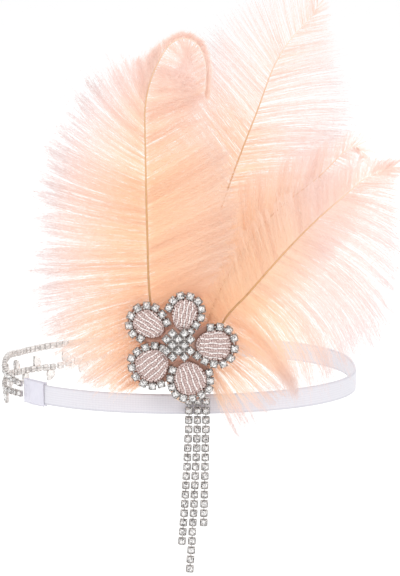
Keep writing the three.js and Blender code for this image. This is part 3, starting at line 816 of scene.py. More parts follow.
@dataclass
class Band:
    """The elastic and the ribbon folded over its ends."""

    loop: HeadLoop
    height: float = 10.0
    thickness: float = 1.2
    near_end_reach: float = 90.0
    chain_span: float = 150.0
    seat_gap: float = 0.3
    tab_thickness: float = 1.0
    tab_length: float = 15.0
    tab_overhang: float = 1.1
    crease_place: float = 6.5
    crease_height: float = 0.4
    selvedge: float = 0.12
    step: float = 1.6
    crease_width: float = 1.3
    ripple: float = 0.1
    stitch_place: float = 2.2
    stitch_pinch: float = 0.03
    stitch_pitch: float = 1.5
    stitch_radius: float = 0.14
    stitch_slant: float = 0.25
    stitch_margin: float = 1.0

    @property
    def start(self) -> float:
        """Where the elastic's near end lies along the loop."""
        return -self.near_end_reach

    @property
    def end(self) -> float:
        """Where the elastic's far end lies along the loop."""
        return self.loop.girth - self.near_end_reach - self.chain_span

    @property
    def tab_outer_face(self) -> float:
        """From the loop to the outer face of a tab's ply."""
        return self.thickness / 2 + self.seat_gap + self.tab_thickness

    def build_elastic(self, finish: bpy.types.Material) -> bpy.types.Object:
        """Weaves the elastic: a strip laid along the loop, thickened, with a rounded selvedge."""
        steps = round((self.end - self.start) / self.step)
        shape = bmesh.new()
        uv = shape.loops.layers.uv.new("weave")
        bmesh.ops.create_grid(shape, x_segments=steps, y_segments=10, size=0.5, calc_uvs=True)
        for face in shape.faces:
            for corner in face.loops:
                share, rise = corner[uv].uv
                corner[uv].uv = (share * (self.end - self.start) / CM, rise * self.height / CM)
        for corner in shape.verts:
            point, _, outward = self.loop.at(self.start + (corner.co.x + 0.5) * (self.end - self.start))
            edge = abs(2 * corner.co.y) ** 8
            point = point + outward * (self.thickness / 2 - self.selvedge * edge)
            corner.co = Vector((point[0], point[1], corner.co.y * self.height))
        bmesh.ops.recalc_face_normals(shape, faces=shape.faces)
        self._face_outwards(shape)
        bmesh.ops.solidify(shape, geom=list(shape.faces), thickness=self.thickness - self.selvedge)
        mesh = smooth(mesh_of("elastic", shape, finish))
        made = piece("elastic", mesh, Slot.ELASTIC, "elastic_band")
        return made

    @staticmethod
    def _face_outwards(shape: bmesh.types.BMesh) -> None:
        """Turns a strip's faces away from the loop's middle."""
        face = next(iter(shape.faces))
        middle = face.calc_center_median()
        if face.normal.dot(Vector((middle.x, middle.y, 0))) < 0:
            bmesh.ops.reverse_faces(shape, faces=list(shape.faces))

    def build_tab(self, name: str, node: str, end: float, towards: int,
                  finish: bpy.types.Material) -> bpy.types.Object:
        """Folds the ribbon over an end of the elastic, with a row of stitches through both plies.

        Args:
            name: the piece's name.
            node: the node that it stands for.
            end: where the elastic ends along the loop.
            towards: 1 or -1, the way from that end to the elastic.
            finish: the ribbon's finish.

        Returns:
            The piece.
        """
        middle = self.tab_outer_face - self.tab_thickness / 2
        bend = math.pi * middle
        run = 2 * self.tab_length + bend
        half_height = self.height / 2 + self.tab_overhang
        shape = bmesh.new()
        uv = shape.loops.layers.uv.new("weave")
        bmesh.ops.create_grid(shape, x_segments=64, y_segments=12, size=0.5, calc_uvs=True)
        for face in shape.faces:
            for corner in face.loops:
                share, rise = corner[uv].uv
                corner[uv].uv = (share * run / CM, rise * 2 * half_height / CM)
        for corner in shape.verts:
            reach = (corner.co.x + 0.5) * run
            if reach < self.tab_length:
                offset, distance = middle, self.tab_length - reach
            elif reach > self.tab_length + bend:
                offset, distance = -middle, reach - self.tab_length - bend
            else:
                turn = (reach - self.tab_length) / middle
                offset, distance = middle * math.cos(turn), -0.7 * middle * math.sin(turn)
            wave = self.ripple * math.sin(distance * 1.3 + corner.co.y * 2.5) * (1 if offset > 0 else -1)
            if offset > 0:
                wave += self.crease_height * self._hump(distance - self.crease_place)
            point, _, outward = self.loop.at(end + towards * distance)
            point = point + outward * (offset + wave)
            pinch = 1 - self.stitch_pinch * self._hump(distance - self.stitch_place)
            corner.co = Vector((point[0], point[1], 2 * corner.co.y * half_height * pinch))
        bmesh.ops.recalc_face_normals(shape, faces=shape.faces)
        self._face_outwards(shape)
        bmesh.ops.solidify(shape, geom=list(shape.faces), thickness=0.5 * self.tab_thickness)
        self._add_stitches(shape, end + towards * self.stitch_place, middle + self.ripple, half_height)
        mesh = smooth(mesh_of(name, shape, finish))
        made = piece(name, mesh, Slot.RIBBON, node)
        run * MM
        return made

    def _hump(self, away: float) -> float:
        """A smooth hump, 1 at no distance and as wide as the crease."""
        return math.exp(-((away / self.crease_width) ** 2))

    def _add_stitches(self, shape: bmesh.types.BMesh, distance: float, offset: float,
                      half_height: float) -> None:
        """Sews a row of short upright stitches through the tab.

        Args:
            shape: the tab.
            distance: where the row is, along the loop.
            offset: how far out of the loop it lies.
            half_height: half the tab's height.
        """
        point, _, outward = self.loop.at(distance)
        rows = int(2 * (half_height - self.stitch_margin) / self.stitch_pitch)
        for row in range(rows):
            height = -half_height + self.stitch_margin + self.stitch_pitch * (row + 0.5)
            seat = Vector(point + outward * offset) + Vector((0, 0, height))
            turn = Matrix.Rotation(self.stitch_slant, 4, Vector(outward))
            size = Matrix.Diagonal((self.stitch_radius, self.stitch_radius, 0.36 * self.stitch_pitch, 1))
            bmesh.ops.create_uvsphere(shape, u_segments=6, v_segments=5, radius=1,
                                      matrix=Matrix.Translation(seat) @ turn @ size)


# Stones


class StoneShape(Enum):
    """Outlines of a stone."""

    ROUND = "round"
    PEAR = "pear"


@dataclass
class Setting:
    """A stone in its cup with prongs: x runs along the string, z out of the cup."""

    shape: StoneShape
    length: float
    width: float
    cup_depth: float
    depth: float
    table: float = 0.5
    wall: float = 0.28
    seed: int = 1

    # The stone tones are painted reflections on the facets.
    STONE_REFLECTION_TONES = (0.0, 0.25, 0.45, 0.6, 0.75, 0.9, 1.0)
    # The cup tones, and SIDE_SHADE on the cups' upright sides, are painted shade and reflections.
    CUP_REFLECTION_TONES = (0.55, 0.7, 0.85, 1.0)
    CUP, STONE = 0, 1
    CUP_BEVEL = 0.1
    SIDE_SHADE = 0.6
    ROUND_PRONGS = (45, 135, 225, 315)
    PEAR_PRONGS = (0, 118, 242)
    TOP_RECESS, BACK_RECESS = 0.55, 0.3
    PRONG_FOOT, PRONG_TIP = 0.3, 0.24

    def outline(self, share: float, height: float, count: int, turn: float = 0.0) -> list[Vector]:
        """Corners of the stone's outline at a height, scaled by a share."""
        corners = []
        for step in range(count):
            angle = 2 * math.pi * (step + turn) / count
            if self.shape is StoneShape.ROUND:
                radius = (self.width / 2 - 0.6 * self.wall) * share
                corners.append(Vector((radius * math.cos(angle), radius * math.sin(angle), height)))
                continue
            half_width = (self.width / 2 - self.wall) * share
            back = self.length / 2 - self.width / 2
            side = half_width * math.sin(angle)
            lengthwise = math.cos(angle)
            if lengthwise > 0:
                reach = (self.length / 2 + back - self.wall) * share
                side *= 1 - 0.42 * lengthwise
            else:
                reach = half_width
            corners.append(Vector((reach * lengthwise - back, side, height)))
        return corners

    def stone(self) -> Template:
        """The cut stone: a table, its crown facets and a girdle."""
        shape = bmesh.new()
        low, high = 0.75 * self.cup_depth, self.depth
        rise = high - low
        rings = (
            self.outline(self.table, high, 8, 0.5),
            self.outline(0.8, low + 0.72 * rise, 8),
            self.outline(1.0, low + 0.25 * rise, 16, 0.5),
            self.outline(0.94, low, 8, 0.5),
        )
        corners = [shape.verts.new(corner) for ring in rings for corner in ring]
        bmesh.ops.convex_hull(shape, input=corners)
        for face in shape.faces:
            face.material_index = self.STONE
        return Template.of(shape, {self.STONE: self.STONE_REFLECTION_TONES}, self.seed)

    def cup(self) -> Template:
        """The cup: a walled tray with a recessed back, and prongs over the stone."""
        shape = bmesh.new()
        if self.shape is StoneShape.ROUND:
            size = Matrix.Diagonal((self.length, self.width, self.cup_depth, 1))
            lift = Matrix.Translation((0, 0, self.cup_depth / 2))
            bmesh.ops.create_cube(shape, size=1, matrix=lift @ size)
            upright = [edge for edge in shape.edges
                       if abs(edge.verts[0].co.z - edge.verts[1].co.z) > 0.5 * self.cup_depth]
            bmesh.ops.bevel(shape, geom=upright, offset=self.CUP_BEVEL * self.width, affect="EDGES",
                            segments=1, profile=0.5, material=-1)
            prongs = self.ROUND_PRONGS
            reach = 0.5 * self.width * 1.13
        else:
            foot = [shape.verts.new(corner) for corner in self.outline(1.12, 0, 14)]
            shape.faces.new(foot)
            grown = bmesh.ops.extrude_face_region(shape, geom=list(shape.faces))["geom"]
            rise = [item for item in grown if isinstance(item, bmesh.types.BMVert)]
            bmesh.ops.translate(shape, verts=rise, vec=(0, 0, self.cup_depth))
            bmesh.ops.recalc_face_normals(shape, faces=shape.faces)
            prongs = self.PEAR_PRONGS
            reach = 0.5 * self.width
        for top in (True, False):
            level = self.cup_depth if top else 0.0
            faces = [face for face in shape.faces if abs(face.normal.z) > 0.9
                     and abs(face.calc_center_median().z - level) < 0.01]
            bmesh.ops.inset_region(shape, faces=faces, thickness=self.wall, depth=0)
            floor = [corner for face in faces for corner in face.verts]
            sink = -self.TOP_RECESS if top else self.BACK_RECESS
            bmesh.ops.translate(shape, verts=list(set(floor)), vec=(0, 0, sink))
        for angle in prongs:
            self._add_prong(shape, math.radians(angle), reach)
        return Template.of(shape, {0: self.CUP_REFLECTION_TONES}, self.seed, side_shade=self.SIDE_SHADE)

    def _add_prong(self, shape: bmesh.types.BMesh, angle: float, reach: float) -> None:
        """Bends a prong from the cup's wall over the stone's edge."""
        if self.shape is StoneShape.PEAR:
            corner = self.outline(1.06, 0, 360)[round(math.degrees(angle)) % 360]
            seat = Vector((corner.x, corner.y, 0))
            reach = seat.length
            angle = math.atan2(seat.y, seat.x)
        way = Vector((math.cos(angle), math.sin(angle), 0))
        rise = self.depth - self.cup_depth
        foot = way * reach + Vector((0, 0, 0.6 * self.cup_depth))
        knee = way * (0.97 * reach) + Vector((0, 0, self.cup_depth + 0.35 * rise))
        tip = way * (0.7 * reach) + Vector((0, 0, self.cup_depth + 0.72 * rise))
        for start, stop, thick in ((foot, knee, self.PRONG_FOOT), (knee, tip, self.PRONG_TIP)):
            middle, run = (start + stop) / 2, stop - start
            turn = run.to_track_quat("Z", "Y").to_matrix().to_4x4()
            size = Matrix.Diagonal((thick, 1.5 * thick, run.length + 0.1, 1))
            bmesh.ops.create_cube(shape, size=1, matrix=Matrix.Translation(middle) @ turn @ size)


def link_template(radius: float) -> Template:
    """A round wire one long along x, to be stretched between two cups."""
    shape = bmesh.new()
    turn = Matrix.Rotation(math.pi / 2, 4, "Y")
    bmesh.ops.create_cone(shape, cap_ends=True, segments=7, radius1=radius, radius2=radius, depth=1,
                          matrix=turn)
    return Template.of(shape, {0: (0.5,)}, 3)


@dataclass
class StringOfStones:
    """A string of cups with links between them."""

    name: str
    node: str
    points: np.ndarray
    along: np.ndarray
    outward: np.ndarray
    setting: Setting
    seed: int
    link_radius: float = 0.32

    CUP_PLAY = 0.3
    STONE_PLAY = 0.34

    def gather(self, joined: Repeats) -> None:
        """Adds the cups, stones and links to a mesh under way."""
        frames = frames_of(self.points, self.along, self.outward)
        joined.add(self.setting.cup(), frames, self.CUP_PLAY)
        turned = frames.copy()
        angles = joined.draw.uniform(0, 2 * np.pi, len(frames))
        if self.setting.shape is StoneShape.ROUND:
            cos, sin = np.cos(angles)[:, None], np.sin(angles)[:, None]
            turned[:, :3, 0] = frames[:, :3, 0] * cos + frames[:, :3, 1] * sin
            turned[:, :3, 1] = frames[:, :3, 1] * cos - frames[:, :3, 0] * sin
        joined.add(self.setting.stone(), turned, self.STONE_PLAY)
        self._add_links(joined)

    def _add_links(self, joined: Repeats) -> None:
        """Adds a wire from each cup to the next, close to their backs."""
        if len(self.points) < 2:
            return
        way = self.points[1:] - self.points[:-1]
        length = np.linalg.norm(way, axis=1, keepdims=True)
        outward = self.outward[1:]
        frames = frames_of((self.points[1:] + self.points[:-1]) / 2 + outward * 1.4 * self.link_radius,
                           unit(way), unit(outward))
        frames[:, :3, 0] *= length
        joined.add(link_template(self.link_radius), frames)

    def build(self, *finishes: bpy.types.Material) -> bpy.types.Object:
        """Makes the string as one piece."""
        joined = Repeats(self.seed)
        self.gather(joined)
        return piece(self.name, joined.mesh(self.name, *finishes), Slot.RHINESTONE, self.node)


LARGE_SETTING = Setting(StoneShape.ROUND, 3.75, 3.75, 1.5, 2.7, 0.5, 0.28, 11)
SMALL_SETTING = Setting(StoneShape.ROUND, 3.3, 3.3, 1.3, 2.3, 0.5, 0.25, 12)
PEAR_SETTING = Setting(StoneShape.PEAR, 6.4, 5.4, 1.2, 2.4, 0.55, 0.3, 13)


@dataclass
class ForeheadChains:
    """The two strings of stones that close the loop over the forehead."""

    band: Band
    clear: float = 1.5
    cup_pitch: float = 3.7
    stem_pitch: float = 4.85
    pear_every: int = 2
    pear_lift: float = 4.4
    pear_lean: float = 24.0
    cup_line: tuple[tuple[float, float], ...] = (
        (0, 0.41), (0.3, 0.41), (0.42, 0.44), (0.52, 0.51), (0.63, 0.71), (0.74, 0.72), (0.8, 0.62),
        (0.9, 0.49), (1, 0.37))
    leaf_line: tuple[tuple[float, float], ...] = (
        (0, -0.2), (0.32, -0.77), (0.52, -0.54), (0.63, -0.28), (0.84, -0.34), (1, -0.16))

    def seats(self, line: Sequence[tuple[float, float]], pitch: float) -> tuple[np.ndarray, ...]:
        """Shares of the way, points, directions along and outward of a chain's cups.

        Args:
            line: the chain's height as a share of the elastic's, along its way.
            pitch: from one cup to the next.

        Returns:
            Arrays with a row for each cup.
        """
        start = self.band.end + self.clear
        stop = self.band.loop.girth + self.band.start - self.clear
        count = int((stop - start) // pitch)
        share = np.arange(count + 1) / count
        points, along, outward = self.band.loop.at(start + (stop - start) * share)
        points = points + outward * (self.band.tab_outer_face + self.band.seat_gap)
        points[:, 2] = self.rise(line, share)
        return share, points, along, outward

    def rise(self, line: Sequence[tuple[float, float]], share: np.ndarray) -> np.ndarray:
        """Height of a chain's line at shares of its way."""
        return self.band.height * np.interp(share, *zip(*line))

    def build_cups(self, *finishes: bpy.types.Material) -> bpy.types.Object:
        """Makes the plain string of small stones."""
        _, points, along, outward = self.seats(self.cup_line, self.cup_pitch)
        chain = StringOfStones("cup_string", "cup_chain", points, along, outward, SMALL_SETTING, 21)
        return chain.build(*finishes)

    def build_leaves(self, *finishes: bpy.types.Material) -> bpy.types.Object:
        """Makes the stem of small stones with its pear-shaped stones."""
        share, points, along, outward = self.seats(self.leaf_line, self.stem_pitch)
        joined = Repeats(22)
        StringOfStones("", "", points, along, outward, SMALL_SETTING, 22).gather(joined)
        room = self.rise(self.cup_line, share) - self.rise(self.leaf_line, share)
        reach = self.pear_lift + (PEAR_SETTING.length + SMALL_SETTING.length) / 2 + self.band.seat_gap
        middles, directions, faces = [], [], []
        for index in range(0, len(points) - 1, self.pear_every):
            side = -1 if (index // self.pear_every) % 2 else 1
            if side > 0 and room[index] < reach:
                continue
            turn = Matrix.Rotation(math.radians(-side * self.pear_lean), 3, Vector(outward[index]))
            direction = turn @ Vector((0, 0, side))
            middles.append(points[index] + np.array(direction) * self.pear_lift)
            directions.append(direction[:])
            faces.append(outward[index])
        frames = frames_of(np.array(middles), np.array(directions), np.array(faces))
        joined.add(PEAR_SETTING.cup(), frames, StringOfStones.CUP_PLAY)
        joined.add(PEAR_SETTING.stone(), frames, StringOfStones.STONE_PLAY)
        return piece("leaf_string", joined.mesh("leaf_string", *finishes), Slot.RHINESTONE, "leaf_chain")


@dataclass
class HangingStrands:
    """The three strings of stones that hang from behind the flower."""

    pitch: float = 4.8
    spread: float = 8.5
    side: float = 7.5
    top: float = 2.2
    curve: float = 1.5
    swing_angle: float = 0.05
    rows: tuple[tuple[str, int, float, float], ...] = (
        ("left", 16, -0.5, -0.05), ("middle", 19, 0.0, -0.046), ("right", 14, 0.49, -0.02))

    def build(self, *finishes: bpy.types.Material) -> None:
        """Makes a piece for each strand, whose cups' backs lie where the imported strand's do."""
        for row, (name, stones, place, drift) in enumerate(self.rows):
            node = "strand_" + name
            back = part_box(node)[1].y / MM
            step = np.arange(stones)
            length = self.pitch * (stones - 1)
            fall = step / (stones - 1)
            points = np.c_[self.side + place * self.spread + drift * length * fall ** self.curve,
                           np.full(stones, back), self.top - self.pitch * step]
            slope = self.curve * drift * fall ** (self.curve - 1)
            along = unit(np.c_[slope, np.zeros(stones), -np.ones(stones)])
            outward = self.swing(along, stones, row)
            strand = StringOfStones("stones_" + name, node, points, unit(along), outward, LARGE_SETTING,
                                    31 + row)
            strand.build(*finishes)

    def swing(self, along: np.ndarray, stones: int, row: int) -> np.ndarray:
        """Turns each cup a little round the strand's line, as hanging cups do."""
        angles = np.random.default_rng(40 + row).normal(0, self.swing_angle, stones)
        facing = np.tile((0.0, -1.0, 0.0), (stones, 1))
        across = np.cross(facing, along)
        return unit(facing * np.cos(angles)[:, None] + across * np.sin(angles)[:, None])


# Flower


@dataclass
class Petal:
    """One petal: its bearing and rim ends in degrees, and its sizes as shares."""

    name: str
    bearing: float
    reach: float
    length: float
    width: float
    rim_from: float
    rim_to: float


@dataclass
class Flower:
    """Five beaded petals with rims of stones on coloured cloth, and a middle of twelve stones.

    Points are first worked out in the flower's own frame: x to the right, y up and z towards the viewer.
    """

    side: float = -2.1
    rise: float = 33.8
    reach: float = 17.3
    petal_length: float = 15.7
    petal_width: float = 12.7
    petal_height: float = 2.0
    egg: float = 0.16
    cloth_thickness: float = 1.0
    cloth_margin: float = 3.5
    ruffle: float = 0.16
    seat_gap: float = 0.3
    rim_pitch: float = 4.18
    rim_offset: float = 2.38
    rim_lean: float = 0.28
    centre_pitch: float = 4.18
    centre_pad: float = 0.3
    bright_length: float = 2.3
    muted_length: float = 1.25
    bright_width: float = 0.8
    muted_width: float = 1.45
    muted_sink: float = 0.22
    waviness: float = 0.22
    bright_rows: int = 6
    petals: tuple[Petal, ...] = (
        Petal("top", 78.6, 0.86, 0.94, 0.87, 78, -140),
        Petal("upper_left", 145.9, 1.02, 0.96, 0.94, 93, -132),
        Petal("lower_left", 219.4, 0.965, 0.99, 1.18, 74, -158),
        Petal("bottom", 287.8, 1.06, 1.0, 1.16, 89, -130),
        Petal("right", 357.5, 1.0, 1.03, 1.1, 100, -138),
    )

    @property
    def base(self) -> float:
        """From the cloth's back to the backs of the pads and rims."""
        return self.cloth_thickness + self.seat_gap

    def half_sizes(self, petal: Petal) -> tuple[float, float]:
        """Half the length and half the width of a petal's bead field."""
        return petal.length * self.petal_length / 2, petal.width * self.petal_width / 2

    def world(self, points: np.ndarray) -> np.ndarray:
        """Points of the flower's frame in the model's frame, in millimetres."""
        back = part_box("petal_fabric")[1].y / MM
        points = np.asarray(points, float)
        return np.stack([self.side + points[..., 0], back - points[..., 2], self.rise + points[..., 1]], -1)

    def on_petal(self, petal: Petal, points: np.ndarray) -> np.ndarray:
        """Points of a petal's frame, whose x runs outwards, in the flower's frame."""
        angle = math.radians(petal.bearing)
        cos, sin = math.cos(angle), math.sin(angle)
        points = np.asarray(points, float)
        along = points[..., 0] + petal.reach * self.reach
        x, y = along * cos - points[..., 1] * sin, along * sin + points[..., 1] * cos
        return np.stack([x, y, points[..., 2]], -1)

    def egg_width(self, lengthwise: np.ndarray, half_length: float) -> np.ndarray:
        """How much wider than an oval a petal is at a place along it."""
        return 1 + self.egg * np.clip(lengthwise / half_length, -1, 1)

    def pad_height(self, petal: Petal, x: np.ndarray, y: np.ndarray) -> np.ndarray:
        """Height of a petal's padded dome over its base."""
        half_length, half_width = self.half_sizes(petal)
        outward = np.hypot(x / half_length, y / (half_width * self.egg_width(x, half_length)))
        return self.petal_height * np.sqrt(np.clip(1 - outward ** 2.6, 0, 1))

    def build_cloth(self, finish: bpy.types.Material) -> bpy.types.Object:
        """Cuts the coloured cloth: an oval with a rolled edge for each petal, over a round middle."""
        shape = bmesh.new()
        for order, petal in enumerate(self.petals):
            self._add_oval(shape, petal, order)
        disc = self.reach / 2
        turn = Matrix.Translation((self.side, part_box("petal_fabric")[1].y / MM - 0.5, self.rise))
        bmesh.ops.create_cone(shape, cap_ends=True, segments=24, radius1=disc, radius2=disc,
                              depth=0.9, matrix=turn @ Matrix.Rotation(math.pi / 2, 4, "X"))
        # The edge attribute carries painted shade, which grows darker towards each oval's rim.
        edge = shape.verts.layers.float.new("edge")
        for corner in shape.verts:
            corner[edge] = self._rim_shade(corner.co)
        mesh = smooth(mesh_of("petal_cloth", shape, finish))
        made = piece("petal_cloth", mesh, Slot.PETAL_FABRIC, "petal_fabric")
        ovals = sum(math.pi * (length + self.cloth_margin) * (width + self.cloth_margin)
                    for length, width in map(self.half_sizes, self.petals))
        area = (ovals + math.pi * disc ** 2) * MM ** 2
        return made

    def _rim_shade(self, corner: Vector) -> float:
        """How much of the edge colour, painted as shade towards the rims, a corner of the cloth takes."""
        across, up = corner.x - self.side, corner.z - self.rise
        nearest = 9.0
        for petal in self.petals:
            half_length, half_width = self.half_sizes(petal)
            angle = math.radians(petal.bearing)
            x = across * math.cos(angle) + up * math.sin(angle) - petal.reach * self.reach
            y = up * math.cos(angle) - across * math.sin(angle)
            outward = math.hypot(x / (half_length + self.cloth_margin), y / (half_width + self.cloth_margin))
            nearest = min(nearest, outward)
        return min(1.0, max(0.0, (nearest - 0.78) / 0.14))

    def _add_oval(self, shape: bmesh.types.BMesh, petal: Petal, order: int) -> None:
        """Adds a petal's cloth as a thick oval whose rim ruffles gently.

        Args:
            shape: the cloth so far.
            petal: the petal.
            order: which petal it is, for the ruffle's phase.
        """
        half_length, half_width = (size + self.cloth_margin for size in self.half_sizes(petal))
        made = bmesh.ops.create_circle(shape, cap_ends=True, segments=56, radius=1)
        face = next(iter(made["verts"][0].link_faces))
        for inset in (0.06, 0.1, 0.25):
            bmesh.ops.inset_region(shape, faces=[face], thickness=inset, depth=0)
        flat = [face for face in shape.faces if all(abs(corner.co.z) < 1e-6 and corner.co.length < 1.01
                                                    for corner in face.verts)]
        grown = bmesh.ops.extrude_face_region(shape, geom=flat)["geom"]
        raised = {item for item in grown if isinstance(item, bmesh.types.BMVert)}
        corners = raised | {corner for face in flat for corner in face.verts}
        thickness = 0.8 * self.cloth_thickness
        for corner in corners:
            outward = Vector((corner.co.x, corner.co.y)).length
            angle = math.atan2(corner.co.y, corner.co.x)
            ruffle = self.ruffle * math.sin(9 * angle + order) * outward ** 6
            roll = 0.5 * thickness * (1 - outward ** 10)
            height = 0.5 * self.cloth_thickness + ruffle + (roll if corner in raised else -roll)
            place = np.array([corner.co.x * half_length, corner.co.y * half_width, height])
            corner.co = Vector(self.world(self.on_petal(petal, place)))
        faces = list({face for corner in corners for face in corner.link_faces})
        bmesh.ops.recalc_face_normals(shape, faces=faces)

    def build_petal(self, petal: Petal, cloth: bpy.types.Material, bright: bpy.types.Material,
                    muted: bpy.types.Material, seed: int) -> bpy.types.Object:
        """Fills a petal with rows of beads on its padded dome.

        Args:
            petal: the petal.
            cloth: the petal cloth's finish, first among the mesh's materials, which no face takes.
            bright: the finish of the bright rows.
            muted: the finish of the rows between them and of the dome under the beads.
            seed: seed of the beads' unevenness.

        Returns:
            The piece.
        """
        joined = Repeats(seed)
        joined.add(self._dome(petal), np.eye(4)[None], material=2)
        half_length, half_width = self.half_sizes(petal)
        rows = 2 * self.bright_rows - 1
        for row in range(rows):
            place = (row - (rows - 1) / 2) / (rows / 2) * 0.96
            frames = self._bead_frames(petal, place * half_width, half_length, row % 2 == 0, joined.draw)
            if len(frames):
                bead = self._bead(bright=row % 2 == 0)
                joined.add(bead, frames, 0.3, material=1 if row % 2 == 0 else 2)
        edge = self._edge_frames(petal, joined.draw)
        joined.add(self._bead(bright=False), edge, 0.3, material=2)
        name = "beads_" + petal.name
        made = piece(name, joined.mesh(name, cloth, bright, muted), Slot.BEADS, "petal_" + petal.name)
        return made

    def _dome(self, petal: Petal) -> Template:
        """The padded dome under a petal's beads."""
        half_length, half_width = self.half_sizes(petal)
        shape = bmesh.new()
        bmesh.ops.create_icosphere(shape, subdivisions=3, radius=1)
        bmesh.ops.bisect_plane(shape, geom=[*shape.verts, *shape.edges, *shape.faces], plane_co=(0, 0, 0),
                               plane_no=(0, 0, -1), clear_outer=True)
        bmesh.ops.contextual_create(shape, geom=[edge for edge in shape.edges if edge.is_boundary])
        for corner in shape.verts:
            x, y = corner.co.x * half_length, corner.co.y * half_width
            y *= float(self.egg_width(np.array(x), half_length))
            height = 0.82 * self.petal_height * max(corner.co.z, 0) ** 0.6
            corner.co = Vector(self.world(self.on_petal(petal, np.array([x, y, self.base + height]))))
        bmesh.ops.recalc_face_normals(shape, faces=shape.faces)
        return Template.of(shape, {0: (0.5,)}, 1, rounded=True)

    def _bead(self, bright: bool) -> Template:
        """A barrel-shaped bead along x, the bright ones thinner."""
        shape = bmesh.new()
        bmesh.ops.create_uvsphere(shape, u_segments=8, v_segments=6, radius=0.5,
                                  matrix=Matrix.Rotation(math.pi / 2, 4, "Y"))
        width = self.bright_width if bright else self.muted_width
        length = 1.06 * (self.bright_length if bright else self.muted_length)
        for corner in shape.verts:
            wide = min(1.0, math.hypot(corner.co.y, corner.co.z) * 2.6)
            angle = math.atan2(corner.co.z, corner.co.y)
            corner.co = Vector((corner.co.x * length, 0.5 * width * wide * math.cos(angle),
                                0.5 * width * wide * math.sin(angle)))
        return Template.of(shape, {0: (0.35, 0.55, 0.8)}, 5, rounded=True)

    def _bead_frames(self, petal: Petal, across: float, half_length: float, bright: bool,
                     draw: np.random.Generator) -> np.ndarray:
        """Places of the beads of one row, which runs the length of the petal.

        Args:
            petal: the petal.
            across: the row's place across the petal's middle.
            half_length: half the bead field's length.
            bright: whether it is a bright row.
            draw: source of the beads' unevenness.

        Returns:
            A frame for each bead, in the model's frame.
        """
        length = self.bright_length if bright else self.muted_length
        x = np.arange(-half_length, half_length, length * 0.98) + draw.uniform(0, 0.4)
        y = across * self.egg_width(x, half_length) * (1 - 0.1 * (x / half_length) ** 2)
        height = self.pad_height(petal, x, y)
        inside = height > 0.12 * self.petal_height
        x, y, height = x[inside], y[inside], height[inside]
        if len(x) < 2:
            return np.zeros((0, 4, 4))
        y = y + self.waviness * np.sin(0.9 * x + 2 * across) + draw.normal(0, 0.05, len(x))
        lift = self.base + 0.82 * height + (0.36 if bright else 0.36 - self.muted_sink)
        points = self.world(self.on_petal(petal, np.c_[x, y, lift]))
        along = unit(np.gradient(points, axis=0))
        across_row = unit(np.cross(np.array([0.0, -1.0, 0.0]), along))
        return frames_of(points, along, np.cross(along, across_row))

    def _edge_frames(self, petal: Petal, draw: np.random.Generator) -> np.ndarray:
        """Places of the uneven beads round a petal's edge, inside its rim.

        Args:
            petal: the petal.
            draw: source of the beads' unevenness.

        Returns:
            A frame for each bead, in the model's frame.
        """
        half_length, half_width = (size + 0.1 for size in self.half_sizes(petal))
        count = int(math.pi * (half_length + half_width) / self.muted_length)
        angles = 2 * np.pi * (np.arange(count) + draw.uniform(-0.2, 0.2, count)) / count
        x, y = half_length * np.cos(angles), half_width * np.sin(angles)
        y = y * self.egg_width(x, half_length)
        lift = self.base + draw.uniform(0.3, 0.8, count)
        points = self.world(self.on_petal(petal, np.c_[x, y, lift]))
        along = unit(np.roll(points, -1, axis=0) - points)
        outward = np.tile((0.0, -1.0, 0.0), (count, 1))
        outward = unit(outward - along * np.sum(along * outward, axis=1, keepdims=True))
        return frames_of(points, along, outward)

    def build_rim(self, petal: Petal, seed: int, *finishes: bpy.types.Material) -> bpy.types.Object:
        """Strings the rim of stones round a petal."""
        half_length, half_width = (size + self.rim_offset for size in self.half_sizes(petal))
        angles = np.radians(np.linspace(petal.rim_to, petal.rim_from, 400))
        line = np.c_[half_length * np.cos(angles), half_width * np.sin(angles)]
        run = np.r_[0, np.cumsum(np.linalg.norm(np.diff(line, axis=0), axis=1))]
        count = int(run[-1] // self.rim_pitch)
        even = np.linspace(0, run[-1], count + 1)
        x, y = np.interp(even, run, line[:, 0]), np.interp(even, run, line[:, 1])
        y = y * self.egg_width(x, half_length)
        points = self.world(self.on_petal(petal, np.c_[x, y, np.full_like(x, self.base)]))
        along = unit(np.gradient(points, axis=0))
        away = unit(points - self.world(self.on_petal(petal, np.array([0.0, 0.0, self.base]))))
        draw = np.random.default_rng(seed)
        lean = self.rim_lean * draw.uniform(-0.4, 1.6, len(points))[:, None]
        outward = unit(np.array((0.0, -1.0, 0.0)) + away * lean)
        along = unit(along - outward * np.sum(along * outward, axis=1, keepdims=True))
        name = "rim_stones_" + petal.name
        string = StringOfStones(name, "rim_" + petal.name, points, along, outward, LARGE_SETTING, seed)
        return string.build(*finishes)

